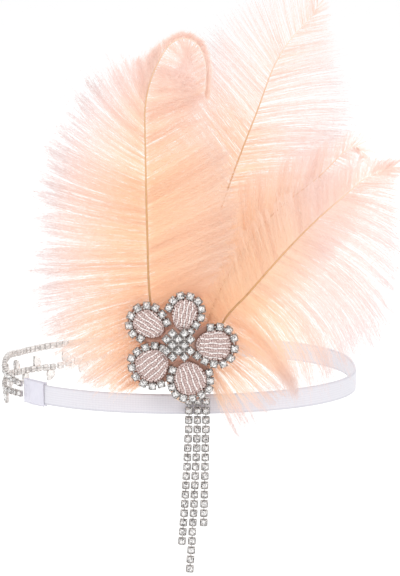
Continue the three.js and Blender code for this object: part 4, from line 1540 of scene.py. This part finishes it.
    def build_centre(self, *finishes: bpy.types.Material) -> bpy.types.Object:
        """Sets the middle: a four by four lattice of stones without its corners, on its pad."""
        lift = LARGE_SETTING.depth + self.seat_gap
        places = np.array([-1.5, -0.5, 0.5, 1.5])
        columns, rows = (grid.ravel() for grid in np.meshgrid(places, places))
        kept = np.abs(columns) + np.abs(rows) < 3
        columns, rows = columns[kept] * self.centre_pitch, rows[kept] * self.centre_pitch
        diagonal = math.sqrt(0.5)
        heights = np.full(len(columns), self.base + lift)
        points = self.world(np.c_[(columns - rows) * diagonal, (columns + rows) * diagonal, heights])
        along = np.tile((diagonal, 0.0, diagonal), (len(points), 1))
        outward = np.tile((0.0, -1.0, 0.0), (len(points), 1))
        joined = Repeats(61)
        frames = frames_of(points, along, outward)
        joined.add(LARGE_SETTING.cup(), frames, StringOfStones.CUP_PLAY)
        joined.add(LARGE_SETTING.stone(), frames, StringOfStones.STONE_PLAY)
        radius = self.centre_pad * self.reach
        pad = bmesh.new()
        middle = self.world(np.array([0, 0, self.base + lift / 2]))
        bmesh.ops.create_cone(pad, cap_ends=True, segments=16, radius1=radius, radius2=radius,
                              depth=lift + 2 * self.seat_gap,
                              matrix=Matrix.Translation(middle) @ Matrix.Rotation(math.pi / 2, 4, "X"))
        joined.add(Template.of(pad, {0: (0.0,)}, 1), np.eye(4)[None])
        name = "middle_stones"
        return piece(name, joined.mesh(name, *finishes), Slot.RHINESTONE, "flower_centre")


@dataclass
class FeltPatch:
    """The felt behind the flower: an upright oval with softened edges."""

    segments: int = 56
    softening: float = 0.35

    def build(self, finish: bpy.types.Material) -> bpy.types.Object:
        """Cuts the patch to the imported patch's box."""
        low, high = (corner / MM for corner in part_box("felt_patch"))
        middle, size = (low + high) / 2, high - low
        shape = bmesh.new()
        place = Matrix.Translation(middle) @ Matrix.Diagonal((size.x / 2, size.y, size.z / 2, 1))
        bmesh.ops.create_cone(shape, cap_ends=True, segments=self.segments, radius1=1, radius2=1, depth=1,
                              matrix=place @ Matrix.Rotation(math.pi / 2, 4, "X"))
        rims = [edge for edge in shape.edges if abs(edge.verts[0].co.y - edge.verts[1].co.y) < 0.1 * size.y]
        bmesh.ops.bevel(shape, geom=rims, offset=self.softening, affect="EDGES", segments=3, profile=0.5,
                        material=-1)
        made = piece("felt", mesh_of("felt", shape, finish), Slot.FELT, "felt_patch")
        return made


# Plumes


@dataclass(frozen=True)
class BarbRow:
    """Barbs at a place along a plume, on each side: length as a share, and sweep and bend in degrees."""

    at: float
    left: float
    left_sweep: float
    left_bend: float
    right: float
    right_sweep: float
    right_bend: float


@dataclass
class Vane:
    """The barbs of one side of a plume, as arrays with a row for each barb."""

    at: np.ndarray
    side: np.ndarray
    length: np.ndarray
    sweep: np.ndarray
    bend: np.ndarray
    depth: np.ndarray


@dataclass
class Plume:
    """An ostrich plume: a quill and thousands of soft barbs that gather into strands and locks."""

    name: str
    layer: int
    foot: float
    height: float
    spine: tuple[tuple[float, float], ...]
    rows: tuple[BarbRow, ...]
    seed: int
    strands: int = 170
    per_strand: int = 16
    locks: int = 40
    barbules: int = 45000
    loose: float = 0.12
    fuzz: float = 0.5
    fullness: float = 7.5
    share: tuple[float, ...] = (0.0, 0.74, 0.93, 1.0)
    share_at: tuple[float, ...] = (0.0, 0.6, 0.83, 1.0)
    # Share of the barb finish's shade colour that a plume takes; plume_right and plume_curl take less,
    # painted lighter to make up for the shade they lie in.
    tone: float = 0.45
    least_pale: float = 0.5

    TALL = 185.0
    QUILL_FOOT = 14.0
    SPACING = 5.1
    ROOT_SIDE = (7.5 - 2.1) / 3
    QUILL_RADIUS = 0.9
    QUILL_TIP = 0.35
    BARB_LENGTH = 62.5
    FELT_FRONT = 67.4
    GAP = 0.3
    BACK_LAYER = 3
    LAYER_STEP = 2.2
    LAYER_REACH = 20.0
    LAYER_SPREAD = 10.0
    FORWARD_CURL = 20.0
    RINGS = 7
    PALE_LENGTH = 42.0
    BARB_WIDTH = 0.2
    BARB_TAPER = 0.55
    BARBULE_WIDTH = 0.13
    LENGTH_MEAN, LENGTH_PLAY, LENGTH_LIMITS = 1.05, 0.15, (-0.4, 0.22)
    SWEEP_PLAY, BEND_PLAY = 3.6, 8.0
    DEPTH_LIMIT = 1.5
    LOCK_PLAY, STRAND_PLAY, BARB_PLAY = 0.55, 0.5, 0.8
    STRAND_JITTER = 2.2
    GATHER, PULL = (0.05, 0.5), (0.7, 1.0)
    LOOSE_FROM, LOOSE_TO, LOOSE_PULL = 0.66, 0.84, 0.35
    LOCK_TONE, STRAND_TONE, BARB_TONE, FUZZ_TONE = 0.12, 0.28, 0.12, 0.15
    FUZZ_LEAN, FUZZ_LENGTH = (16, 46), (2.2, 5.2)
    BOW = 1.2
    CALM_REACH = 16.0
    QUILL_SHARE = 0.72
    FLOWER = (-2.1, 33.8, 27.0)

    def __post_init__(self) -> None:
        """Measures the quill's line."""
        tall = self.height * self.TALL
        side = self.ROOT_SIDE + self.foot * self.SPACING
        knots = np.array([(side + x * tall, self.QUILL_FOOT + z * tall) for x, z in self.spine])
        self._line = rounded_line(knots)
        self._reach = np.r_[0, np.cumsum(np.linalg.norm(np.diff(self._line, axis=0), axis=1))]
        self._reach /= self._reach[-1]
        self.draw = np.random.default_rng(self.seed)

    def place(self, at: np.ndarray) -> np.ndarray:
        """Points of the quill's line at shares of its length, as side and rise."""
        return np.stack([np.interp(at, self._reach, self._line[:, axis]) for axis in range(2)], -1)

    def heading(self, at: np.ndarray) -> np.ndarray:
        """The quill's heading at shares of its length, in radians from the side axis."""
        way = self.place(np.minimum(at + 0.006, 1)) - self.place(np.maximum(at - 0.006, 0))
        return np.arctan2(way[..., 1], way[..., 0])

    def depth_at(self, x: np.ndarray, z: np.ndarray) -> np.ndarray:
        """Depth of the plume's middle at a side and rise."""
        reach = np.hypot(x - self.ROOT_SIDE, z - self.QUILL_FOOT)
        spread = self.BACK_LAYER / 2 * self.SPACING
        apart = np.clip((reach - spread) / (self.LAYER_REACH - spread), 0, 1)
        forward = self.FORWARD_CURL - self.LAYER_SPREAD * self.layer
        foot = -(self.FELT_FRONT + self.GAP + self.QUILL_RADIUS)
        step = apart * self.LAYER_STEP * (self.BACK_LAYER - self.layer)
        return foot - step - forward * (reach / self.TALL) ** 2

    def column(self, name: str, at: np.ndarray, side: np.ndarray) -> np.ndarray:
        """A column of the table of barbs, read on each barb's own side."""
        places = [row.at for row in self.rows]
        left = np.interp(at, places, [getattr(row, "left" + name) for row in self.rows])
        right = np.interp(at, places, [getattr(row, "right" + name) for row in self.rows])
        return np.where(side > 0, left, right)

    def vane(self, at: np.ndarray, side: np.ndarray, spread: Callable[[float], np.ndarray]) -> Vane:
        """Barbs at places along the quill, each a little off the table's values.

        Args:
            at: shares of the quill's length.
            side: 1 for the left of the quill and -1 for its right.
            spread: draws an offset for each barb, given its scale.

        Returns:
            The barbs.
        """
        return Vane(
            at=at,
            side=side,
            length=self.column("", at, side) * self.BARB_LENGTH
            * (self.LENGTH_MEAN + np.clip(spread(self.LENGTH_PLAY), *self.LENGTH_LIMITS)),
            sweep=np.radians(self.column("_sweep", at, side) + spread(self.SWEEP_PLAY)),
            bend=np.radians(self.column("_bend", at, side) + spread(self.BEND_PLAY)),
            depth=np.clip(spread(1.0), -self.DEPTH_LIMIT, self.DEPTH_LIMIT),
        )

    def paths(self, vane: Vane) -> np.ndarray:
        """The line of each barb from the quill to its tip.

        Args:
            vane: the barbs.

        Returns:
            Points in millimetres, with a row for each barb.
        """
        share = np.linspace(0, 1, self.RINGS)
        middle = (share[1:] + share[:-1]) / 2
        turn = vane.sweep[:, None] - vane.bend[:, None] * middle
        angle = self.heading(vane.at)[:, None] + vane.side[:, None] * turn
        step = vane.length[:, None] / (self.RINGS - 1)
        flat = np.stack([step * np.cos(angle), step * np.sin(angle)], -1).cumsum(axis=1)
        root = self.place(vane.at)[:, None]
        flat = np.concatenate([root, root + flat], axis=1)
        x, z = flat[..., 0], flat[..., 1]
        proud = self.fullness * vane.depth[:, None] * share ** 1.4 * (vane.length[:, None] / self.BARB_LENGTH)
        back = self.BOW * np.sin(np.pi * share)
        y = self.depth_at(x, z) + back + self.calmed(proud, x, z)
        return np.stack([x, y, z], -1)

    def calmed(self, proud: np.ndarray, x: np.ndarray, z: np.ndarray) -> np.ndarray:
        """Keeps barbs from standing forward where the flower lies over them."""
        side, rise, radius = self.FLOWER
        clear = np.clip((np.hypot(x - side, z - rise) - radius) / self.CALM_REACH, 0, 1)
        return np.where(proud < 0, proud * clear, proud)

    def spreading(self, amount: float, count: int) -> Callable[[float], np.ndarray]:
        """A source of offsets for a number of barbs, which takes their scale."""
        return lambda scale: amount * scale * self.draw.normal(0, 1, count)

    def thinning(self, even: np.ndarray) -> np.ndarray:
        """Turns an even spacing from 0 to 1 into places along the quill that thin out towards its tip."""
        return np.maximum(np.interp(even, self.share, self.share_at), self.rows[0].at)

    def barb_paths(self) -> tuple[np.ndarray, np.ndarray]:
        """Lines of all barbs, drawn together into strands and the strands into locks.

        Returns:
            The lines, and for each barb a number from 0 to 1 that its lock shares.
        """
        first = self.rows[0].at
        strand_side = np.where(np.arange(self.strands) % 2 == 0, 1.0, -1.0)
        even = (np.arange(self.strands // 2) + 0.5) / (self.strands // 2)
        even = np.stack([self.draw.permutation(even) for _ in range(2)], axis=1).ravel()
        strand_at = self.thinning(even)
        lock = np.minimum((strand_at - first) / (1 - first) * self.locks / 2, self.locks / 2 - 1).astype(int)
        lock = lock + np.where(strand_side > 0, 0, self.locks // 2)
        lock_at = first + (1 - first) * (lock % (self.locks // 2) + 0.62) / (self.locks / 2)
        lock_noise = self.draw.normal(0, 1, (4, self.locks))
        kinds = iter(lock_noise)
        lock_vane = self.vane(lock_at, strand_side, lambda scale: self.LOCK_PLAY * scale * next(kinds)[lock])
        strand_vane = self.vane(strand_at, strand_side, self.spreading(self.STRAND_PLAY, self.strands))
        share = np.linspace(0, 1, self.RINGS)[None, :, None]
        gather = self.draw.uniform(*self.GATHER, self.strands)[:, None, None] * share ** 3
        strand_paths = self.paths(strand_vane)
        strand_paths += gather * (self.paths(lock_vane) - strand_paths)

        owner = np.repeat(np.arange(self.strands), self.per_strand)
        jitter = self.draw.uniform(-self.STRAND_JITTER, self.STRAND_JITTER, len(owner)) / self.strands
        at = self.thinning(np.clip(even[owner] + jitter, 0, 1))
        barbs = self.paths(self.vane(at, strand_side[owner], self.spreading(self.BARB_PLAY, len(owner))))
        held = self.draw.random(len(owner)) >= self.loose
        pull = held * self.draw.uniform(*self.PULL, len(owner))
        pull *= np.interp(at, (self.LOOSE_FROM, self.LOOSE_TO), (1.0, self.LOOSE_PULL))
        barbs += pull[:, None, None] * share ** 1.2 * (strand_paths[owner] - barbs)
        strand_tone = self.STRAND_TONE * self.draw.normal(0, 1, self.strands)
        strand_tone += self.LOCK_TONE * lock_noise[0][lock]
        tone = self.tone + strand_tone[owner] + self.BARB_TONE * self.draw.normal(0, 1, len(owner))
        return barbs, np.clip(tone, 0, 1)

    def build(self, barb_finish: bpy.types.Material, quill_finish: bpy.types.Material) -> None:
        """Makes the barbs, with their barbules, and the quill."""
        paths, tone = self.barb_paths()
        share = np.linspace(0, 1, self.RINGS)
        corners, triangles = ribbons(paths, self.BARB_WIDTH * (1 - self.BARB_TAPER * share), self.draw)
        fuzz_paths, fuzz_reach, fuzz_owner = self.barbule_paths(paths)
        fuzz_tone = np.clip(tone[fuzz_owner] + self.draw.normal(0, self.FUZZ_TONE, self.barbules), 0, 1)
        fuzz_corners, fuzz_triangles = ribbons(fuzz_paths, np.full(2, self.BARBULE_WIDTH), self.draw)
        name = self.name + "_barbs"
        mesh = triangle_mesh(
            name,
            np.concatenate([corners, fuzz_corners]),
            np.concatenate([triangles, fuzz_triangles + len(corners)]),
        )
        mesh.materials.append(barb_finish)
        length = np.linalg.norm(np.diff(paths, axis=1), axis=2).sum(axis=1)
        paleness = np.clip(length / self.PALE_LENGTH, self.least_pale, 1)
        reach = (paleness[:, None] * np.r_[np.repeat(share[:-1], 2), 1.0]).ravel()
        fuzz_reach = fuzz_reach * paleness[fuzz_owner]
        set_attribute(mesh, "reach", "POINT", np.r_[reach, np.repeat(fuzz_reach, 3)])
        tones = np.r_[np.repeat(tone, 2 * self.RINGS - 1), np.repeat(fuzz_tone, 3)]
        set_attribute(mesh, "lock", "POINT", tones)
        barbs = piece(name, mesh, Slot.FEATHER, self.name)
        barbs.visible_shadow = False
        self.build_quill(quill_finish)

    def barbule_paths(self, paths: np.ndarray) -> tuple[np.ndarray, np.ndarray, np.ndarray]:
        """Lines of the barbules that stand off the barbs.

        Args:
            paths: the barbs' lines.

        Returns:
            Two points for each barbule, with its reach along the barb and the barb's index.
        """
        owner = self.draw.integers(0, len(paths), self.barbules)
        place = self.draw.uniform(0.02, 0.98, self.barbules) * (self.RINGS - 1)
        low = place.astype(int)
        part = (place - low)[:, None]
        start, stop = paths[owner, low], paths[owner, low + 1]
        root = start + part * (stop - start)
        along = unit(stop - start)
        spin = self.draw.uniform(0, 2 * np.pi, self.barbules)[:, None]
        across = unit(np.cross(along, np.array([0.0, 1.0, 0.0])))
        off = across * np.cos(spin) + np.cross(along, across) * np.sin(spin)
        lean = np.radians(self.draw.uniform(*self.FUZZ_LEAN, self.barbules))[:, None]
        reach = place / (self.RINGS - 1)
        length = self.fuzz * self.draw.uniform(*self.FUZZ_LENGTH, self.barbules) * (1 - 0.5 * reach)
        length = length[:, None]
        tip = root + length * (along * np.cos(lean) + off * np.sin(lean))
        return np.stack([root, tip], 1), reach, owner

    def build_quill(self, finish: bpy.types.Material) -> bpy.types.Object:
        """Draws the quill along the plume's line."""
        at = np.linspace(0, 1, 72)
        line = self.place(at)
        points = np.c_[line[:, 0], self.depth_at(line[:, 0], line[:, 1]), line[:, 1]]
        radii = self.QUILL_RADIUS + (self.QUILL_TIP - self.QUILL_RADIUS) * at ** 0.8
        radii = radii * (1 - 0.7 * np.clip((at - 0.9) / 0.1, 0, 1))
        shape = swept_tube(points, self.QUILL_SHARE * radii, 10)
        layer = shape.verts.layers.float.new("reach")
        for corner in shape.verts:
            nearest = np.argmin(np.hypot(points[:, 0] - corner.co.x, points[:, 2] - corner.co.z))
            corner[layer] = at[nearest]
        name = self.name + "_quill"
        return piece(name, smooth(mesh_of(name, shape, finish)), Slot.FEATHER)


def rounded_line(knots: np.ndarray, steps: int = 40) -> np.ndarray:
    """A centripetal Catmull-Rom line through knots.

    Args:
        knots: points in a plane.
        steps: points from each knot to the next.

    Returns:
        Points of the line.
    """
    padded = np.concatenate([[2 * knots[0] - knots[1]], knots, [2 * knots[-1] - knots[-2]]])
    share = np.linspace(0, 1, steps, endpoint=False)[:, None]
    line = []
    for before, start, stop, after in zip(padded, padded[1:], padded[2:], padded[3:]):
        first, gap, last = (math.sqrt(np.linalg.norm(b - a)) for a, b in
                            ((before, start), (start, stop), (stop, after)))
        way = (stop - start) / gap
        leave = ((start - before) / first - (stop - before) / (first + gap) + way) * gap
        arrive = (way - (after - start) / (gap + last) + (after - stop) / last) * gap
        cubic = 2 * start - 2 * stop + leave + arrive
        square = -3 * start + 3 * stop - 2 * leave - arrive
        line.append(cubic * share ** 3 + square * share ** 2 + leave * share + start)
    return np.concatenate([*line, knots[-1:]])


def ribbons(paths: np.ndarray, widths: np.ndarray,
            draw: np.random.Generator) -> tuple[np.ndarray, np.ndarray]:
    """Narrow ribbons along lines, each turned its own way and coming to a point.

    Args:
        paths: points in millimetres, with a row for each ribbon; the last point is its tip.
        widths: width at each point.
        draw: source of the turns.

    Returns:
        Corners and triangles.
    """
    count, points = paths.shape[:2]
    rings = points - 1
    along = unit(np.gradient(paths, axis=1))[:, :rings]
    across = unit(np.cross(along, np.array([0.0, 1.0, 0.0])))
    turn = draw.uniform(-1.1, 1.1, count)[:, None, None]
    half = (np.cos(turn) * across + np.sin(turn) * np.cross(along, across)) * widths[:rings, None] / 2
    edges = np.stack([paths[:, :rings] - half, paths[:, :rings] + half], axis=2)
    corners = np.concatenate([edges.reshape(count, -1, 3), paths[:, -1:]], axis=1)
    faces = [(2 * (rings - 1), 2 * rings - 1, 2 * rings)]
    for low in range(0, 2 * (rings - 1), 2):
        faces.extend([(low, low + 1, low + 3), (low, low + 3, low + 2)])
    steps = (2 * rings + 1) * np.arange(count)
    return corners.reshape(-1, 3), (np.array(faces)[None] + steps[:, None, None]).reshape(-1, 3)


PLUMES = (
    Plume(
        "plume_left", 0, -1.5, 0.936,
        ((0, 0), (-0.036, 0.12), (-0.059, 0.239), (-0.067, 0.45), (-0.071, 0.68), (-0.071, 0.8),
         (-0.058, 0.87), (-0.034, 0.93), (0, 0.983), (0.036, 1), (0.072, 0.986), (0.095, 0.94), (0.1, 0.89),
         (0.096, 0.84)),
        (
            BarbRow(0.03, 0.32, 102, -10, 0.3, 70, 0),
            BarbRow(0.1, 0.64, 101, -14, 0.3, 70, 0),
            BarbRow(0.2, 0.84, 97, -8, 0.66, 68, 0),
            BarbRow(0.32, 0.83, 88, 4, 0.76, 66, 0),
            BarbRow(0.44, 0.82, 74, 16, 0.68, 64, 4),
            BarbRow(0.54, 0.7, 58, 20, 0.5, 62, 4),
            BarbRow(0.62, 0.5, 44, 22, 0.46, 66, 0),
            BarbRow(0.7, 0.22, 26, 10, 0.34, 80, 0),
            BarbRow(0.8, 0.06, 40, 0, 0.22, 92, 0),
            BarbRow(1.0, 0.05, 36, 0, 0.26, 50, 0),
        ),
        71,
        strands=300,
        barbules=138000,
        loose=0.35,
        fuzz=0.95,
        share=(0.0, 0.66, 0.9, 1.0),
        share_at=(0.03, 0.48, 0.76, 1.0),
        least_pale=0.2,
    ),
    Plume(
        "plume_right", 1, 1.5, 0.582,
        ((0, 0), (0.107, 0.286), (0.213, 0.407), (0.387, 0.609), (0.532, 0.76), (0.676, 0.89), (0.731, 0.94),
         (0.784, 0.969), (0.863, 1)),
        (
            BarbRow(0.03, 0.15, 60, 0, 0.56, 138, -6),
            BarbRow(0.09, 0.2, 60, 0, 0.62, 112, -16),
            BarbRow(0.15, 0.2, 60, 0, 0.66, 94, -26),
            BarbRow(0.24, 0.3, 60, 0, 0.78, 84, -40),
            BarbRow(0.35, 0.4, 58, 0, 0.96, 80, -52),
            BarbRow(0.55, 0.4, 56, 4, 1.04, 70, -46),
            BarbRow(0.7, 0.32, 52, 6, 0.72, 54, -36),
            BarbRow(0.84, 0.22, 48, 4, 0.38, 50, -10),
            BarbRow(0.9, 0.16, 44, 0, 0.22, 42, 0),
            BarbRow(1.0, 0.1, 18, 0, 0.12, 18, 0),
        ),
        72,
        strands=190,
        barbules=80000,
        loose=0.2,
        fuzz=0.75,
        share_at=(0.03, 0.6, 0.83, 1.0),
        # Painted light: a lower tone lifts this plume's colour against the shade it lies in.
        tone=0.25,
    ),
    Plume(
        "plume_curl", 2, 0.5, 0.634,
        ((0, 0), (0.102, 0.341), (0.187, 0.505), (0.3, 0.664), (0.413, 0.77), (0.544, 0.877), (0.651, 0.983),
         (0.684, 1), (0.714, 0.983), (0.727, 0.94)),
        (
            BarbRow(0.2, 0.3, 54, 6, 0.4, 62, -10),
            BarbRow(0.45, 0.48, 46, 10, 0.6, 62, -16),
            BarbRow(0.68, 0.38, 40, 4, 0.54, 60, -24),
            BarbRow(0.8, 0.26, 34, -8, 0.42, 70, -24),
            BarbRow(0.88, 0.18, 34, 0, 0.14, 70, 0),
            BarbRow(0.94, 0.14, 32, 0, 0.04, 60, 0),
            BarbRow(1.0, 0.12, 24, 0, 0.05, 50, 0),
        ),
        73,
        barbules=36000,
        share=(0.0, 0.7, 0.9, 1.0),
        share_at=(0.2, 0.64, 0.8, 1.0),
        # Painted light: a lower tone lifts this plume's colour against the shade it lies in.
        tone=0.2,
    ),
    Plume(
        "plume_top", 3, -0.5, 1.0,
        ((0, 0), (0.045, 0.24), (0.111, 0.471), (0.159, 0.607), (0.204, 0.723), (0.252, 0.849),
         (0.297, 0.918), (0.349, 0.974), (0.364, 1)),
        (
            BarbRow(0.16, 0.42, 62, 0, 0.4, 66, -10),
            BarbRow(0.35, 0.62, 60, 0, 0.64, 64, -10),
            BarbRow(0.58, 0.68, 58, 0, 0.82, 61, -14),
            BarbRow(0.69, 0.66, 62, 0, 0.74, 58, -14),
            BarbRow(0.78, 0.54, 64, 0, 0.54, 54, -8),
            BarbRow(0.86, 0.46, 54, 4, 0.38, 44, 0),
            BarbRow(0.94, 0.26, 56, 4, 0.2, 40, 4),
            BarbRow(1.0, 0.12, 24, 0, 0.1, 18, 0),
        ),
        74,
        barbules=50000,
        share_at=(0.16, 0.66, 0.86, 1.0),
    ),
)


# Studio


@dataclass
class Studio:
    """Pale floor, soft light and the camera at the photograph's angle."""

    distance: float = 1800.0
    elevation: float = 12.0
    image_width: int = 400
    image_height: int = 576
    origin_column: float = 182.3
    origin_row: float = 377.0
    pixel: float = 0.52
    film: float = 36.0
    floor_drop: float = 60.0
    floor_size: float = 30.0
    world_strength: float = 1.02
    lights: tuple[tuple[str, tuple[float, float, float], float, float], ...] = (
        ("key", (-0.9, -1.6, 1.7), 1.0, 10.0), ("fill", (1.5, -1.2, 0.7), 1.0, 4.0),
        ("back", (0.3, 1.5, 1.3), 1.4, 6.0))

    def build(self, floor_finish: bpy.types.Material) -> None:
        """Sets up camera, floor, world and lights."""
        self._camera()
        self._floor(floor_finish)
        self._world()
        for light in self.lights:
            self._light(*light)

    def _camera(self) -> None:
        """Aims the camera so that the model's origin falls on its pixel."""
        rise = math.radians(self.elevation)
        lens = bpy.data.cameras.new("camera")
        lens.sensor_width = self.film
        lens.lens = self.film / self.image_height * self.distance / self.pixel
        lens.clip_end = 100
        camera = bpy.data.objects.new("camera", lens)
        camera.location = Vector((0, -math.cos(rise), math.sin(rise))) * self.distance * MM
        per_pixel = self.pixel / self.distance
        right = (self.origin_column - self.image_width / 2) * per_pixel
        down = (self.origin_row - self.image_height / 2) * per_pixel
        camera.rotation_euler = (math.pi / 2 - rise + down, 0, right)
        bpy.context.scene.collection.objects.link(camera)
        bpy.context.scene.camera = camera

    def _floor(self, finish: bpy.types.Material) -> None:
        """Lays the floor under the lowest stone."""
        shape = bmesh.new()
        bmesh.ops.create_grid(shape, x_segments=1, y_segments=1, size=self.floor_size / MM / 2)
        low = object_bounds()[0].z / MM - self.floor_drop
        bmesh.ops.translate(shape, verts=list(shape.verts), vec=(0, 0, low))
        floor = bpy.data.objects.new("floor", mesh_of("floor", shape, finish))
        bpy.context.scene.collection.objects.link(floor)
        floor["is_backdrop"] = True

    def _world(self) -> None:
        """Makes an even white surround, shown with plain colours."""
        world = bpy.data.worlds.new("studio")
        world.use_nodes = True
        background = world.node_tree.nodes["Background"]
        background.inputs["Color"].default_value = (1, 1, 1, 1)
        background.inputs["Strength"].default_value = self.world_strength
        bpy.context.scene.world = world
        bpy.context.scene.view_settings.view_transform = "Standard"

    def _light(self, name: str, place: tuple[float, float, float], size: float, power: float) -> None:
        """Hangs a soft square light that faces the model.

        Args:
            name: the light's name.
            place: where it hangs, in metres.
            size: its side, in metres.
            power: in watts.
        """
        lamp = bpy.data.lights.new(name, "AREA")
        lamp.size, lamp.energy = size, power
        light = bpy.data.objects.new(name, lamp)
        light.location = place
        light.rotation_euler = (Vector((0, 0, 0.05)) - Vector(place)).to_track_quat("-Z", "Y").to_euler()
        bpy.context.scene.collection.objects.link(light)


def main() -> None:
    """Builds each sub-assembly in order."""
    logging.basicConfig(level=logging.INFO, format="%(name)s: %(message)s")
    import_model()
    Studio().build(StageFinish().build())

    silver, stone = SilverFinish().build(), StoneFinish().build()
    ribbon = RibbonFinish().build()
    band = Band(HeadLoop())
    band.build_elastic(ElasticFinish().build())
    band.build_tab("ribbon_near", "end_tab_near", band.start, 1, ribbon)
    band.build_tab("ribbon_far", "end_tab_far", band.end, -1, ribbon)

    chains = ForeheadChains(band)
    chains.build_cups(silver, stone)
    chains.build_leaves(silver, stone)
    HangingStrands().build(silver, stone)

    FeltPatch().build(ClothFinish("felt", (0.9, 0.66, 0.5), (0.95, 0.8, 0.7), 0.9, 0.2, 0.95).build())
    flower = Flower()
    # The petal cloth's edge colour is painted shade at its rims.
    petal_cloth = ClothFinish("petal_cloth", (0.86, 0.57, 0.47), (0.74, 0.4, 0.3)).build()
    flower.build_cloth(petal_cloth)
    bright = BeadFinish("silver_lined_beads", (0.8, 0.72, 0.7), (1.0, 0.95, 0.93)).build()
    muted = BeadFinish("smoky_beads", (0.4, 0.29, 0.275), (0.74, 0.57, 0.53)).build()
    for order, petal in enumerate(flower.petals):
        flower.build_petal(petal, petal_cloth, bright, muted, 51 + order)
        flower.build_rim(petal, 56 + order, silver, stone)
    flower.build_centre(silver, stone)

    barbs, quill = FeatherFinish().build(), QuillFinish().build()
    for plume in PLUMES:
        plume.build(barbs, quill)


if __name__ == "__main__":
    main()
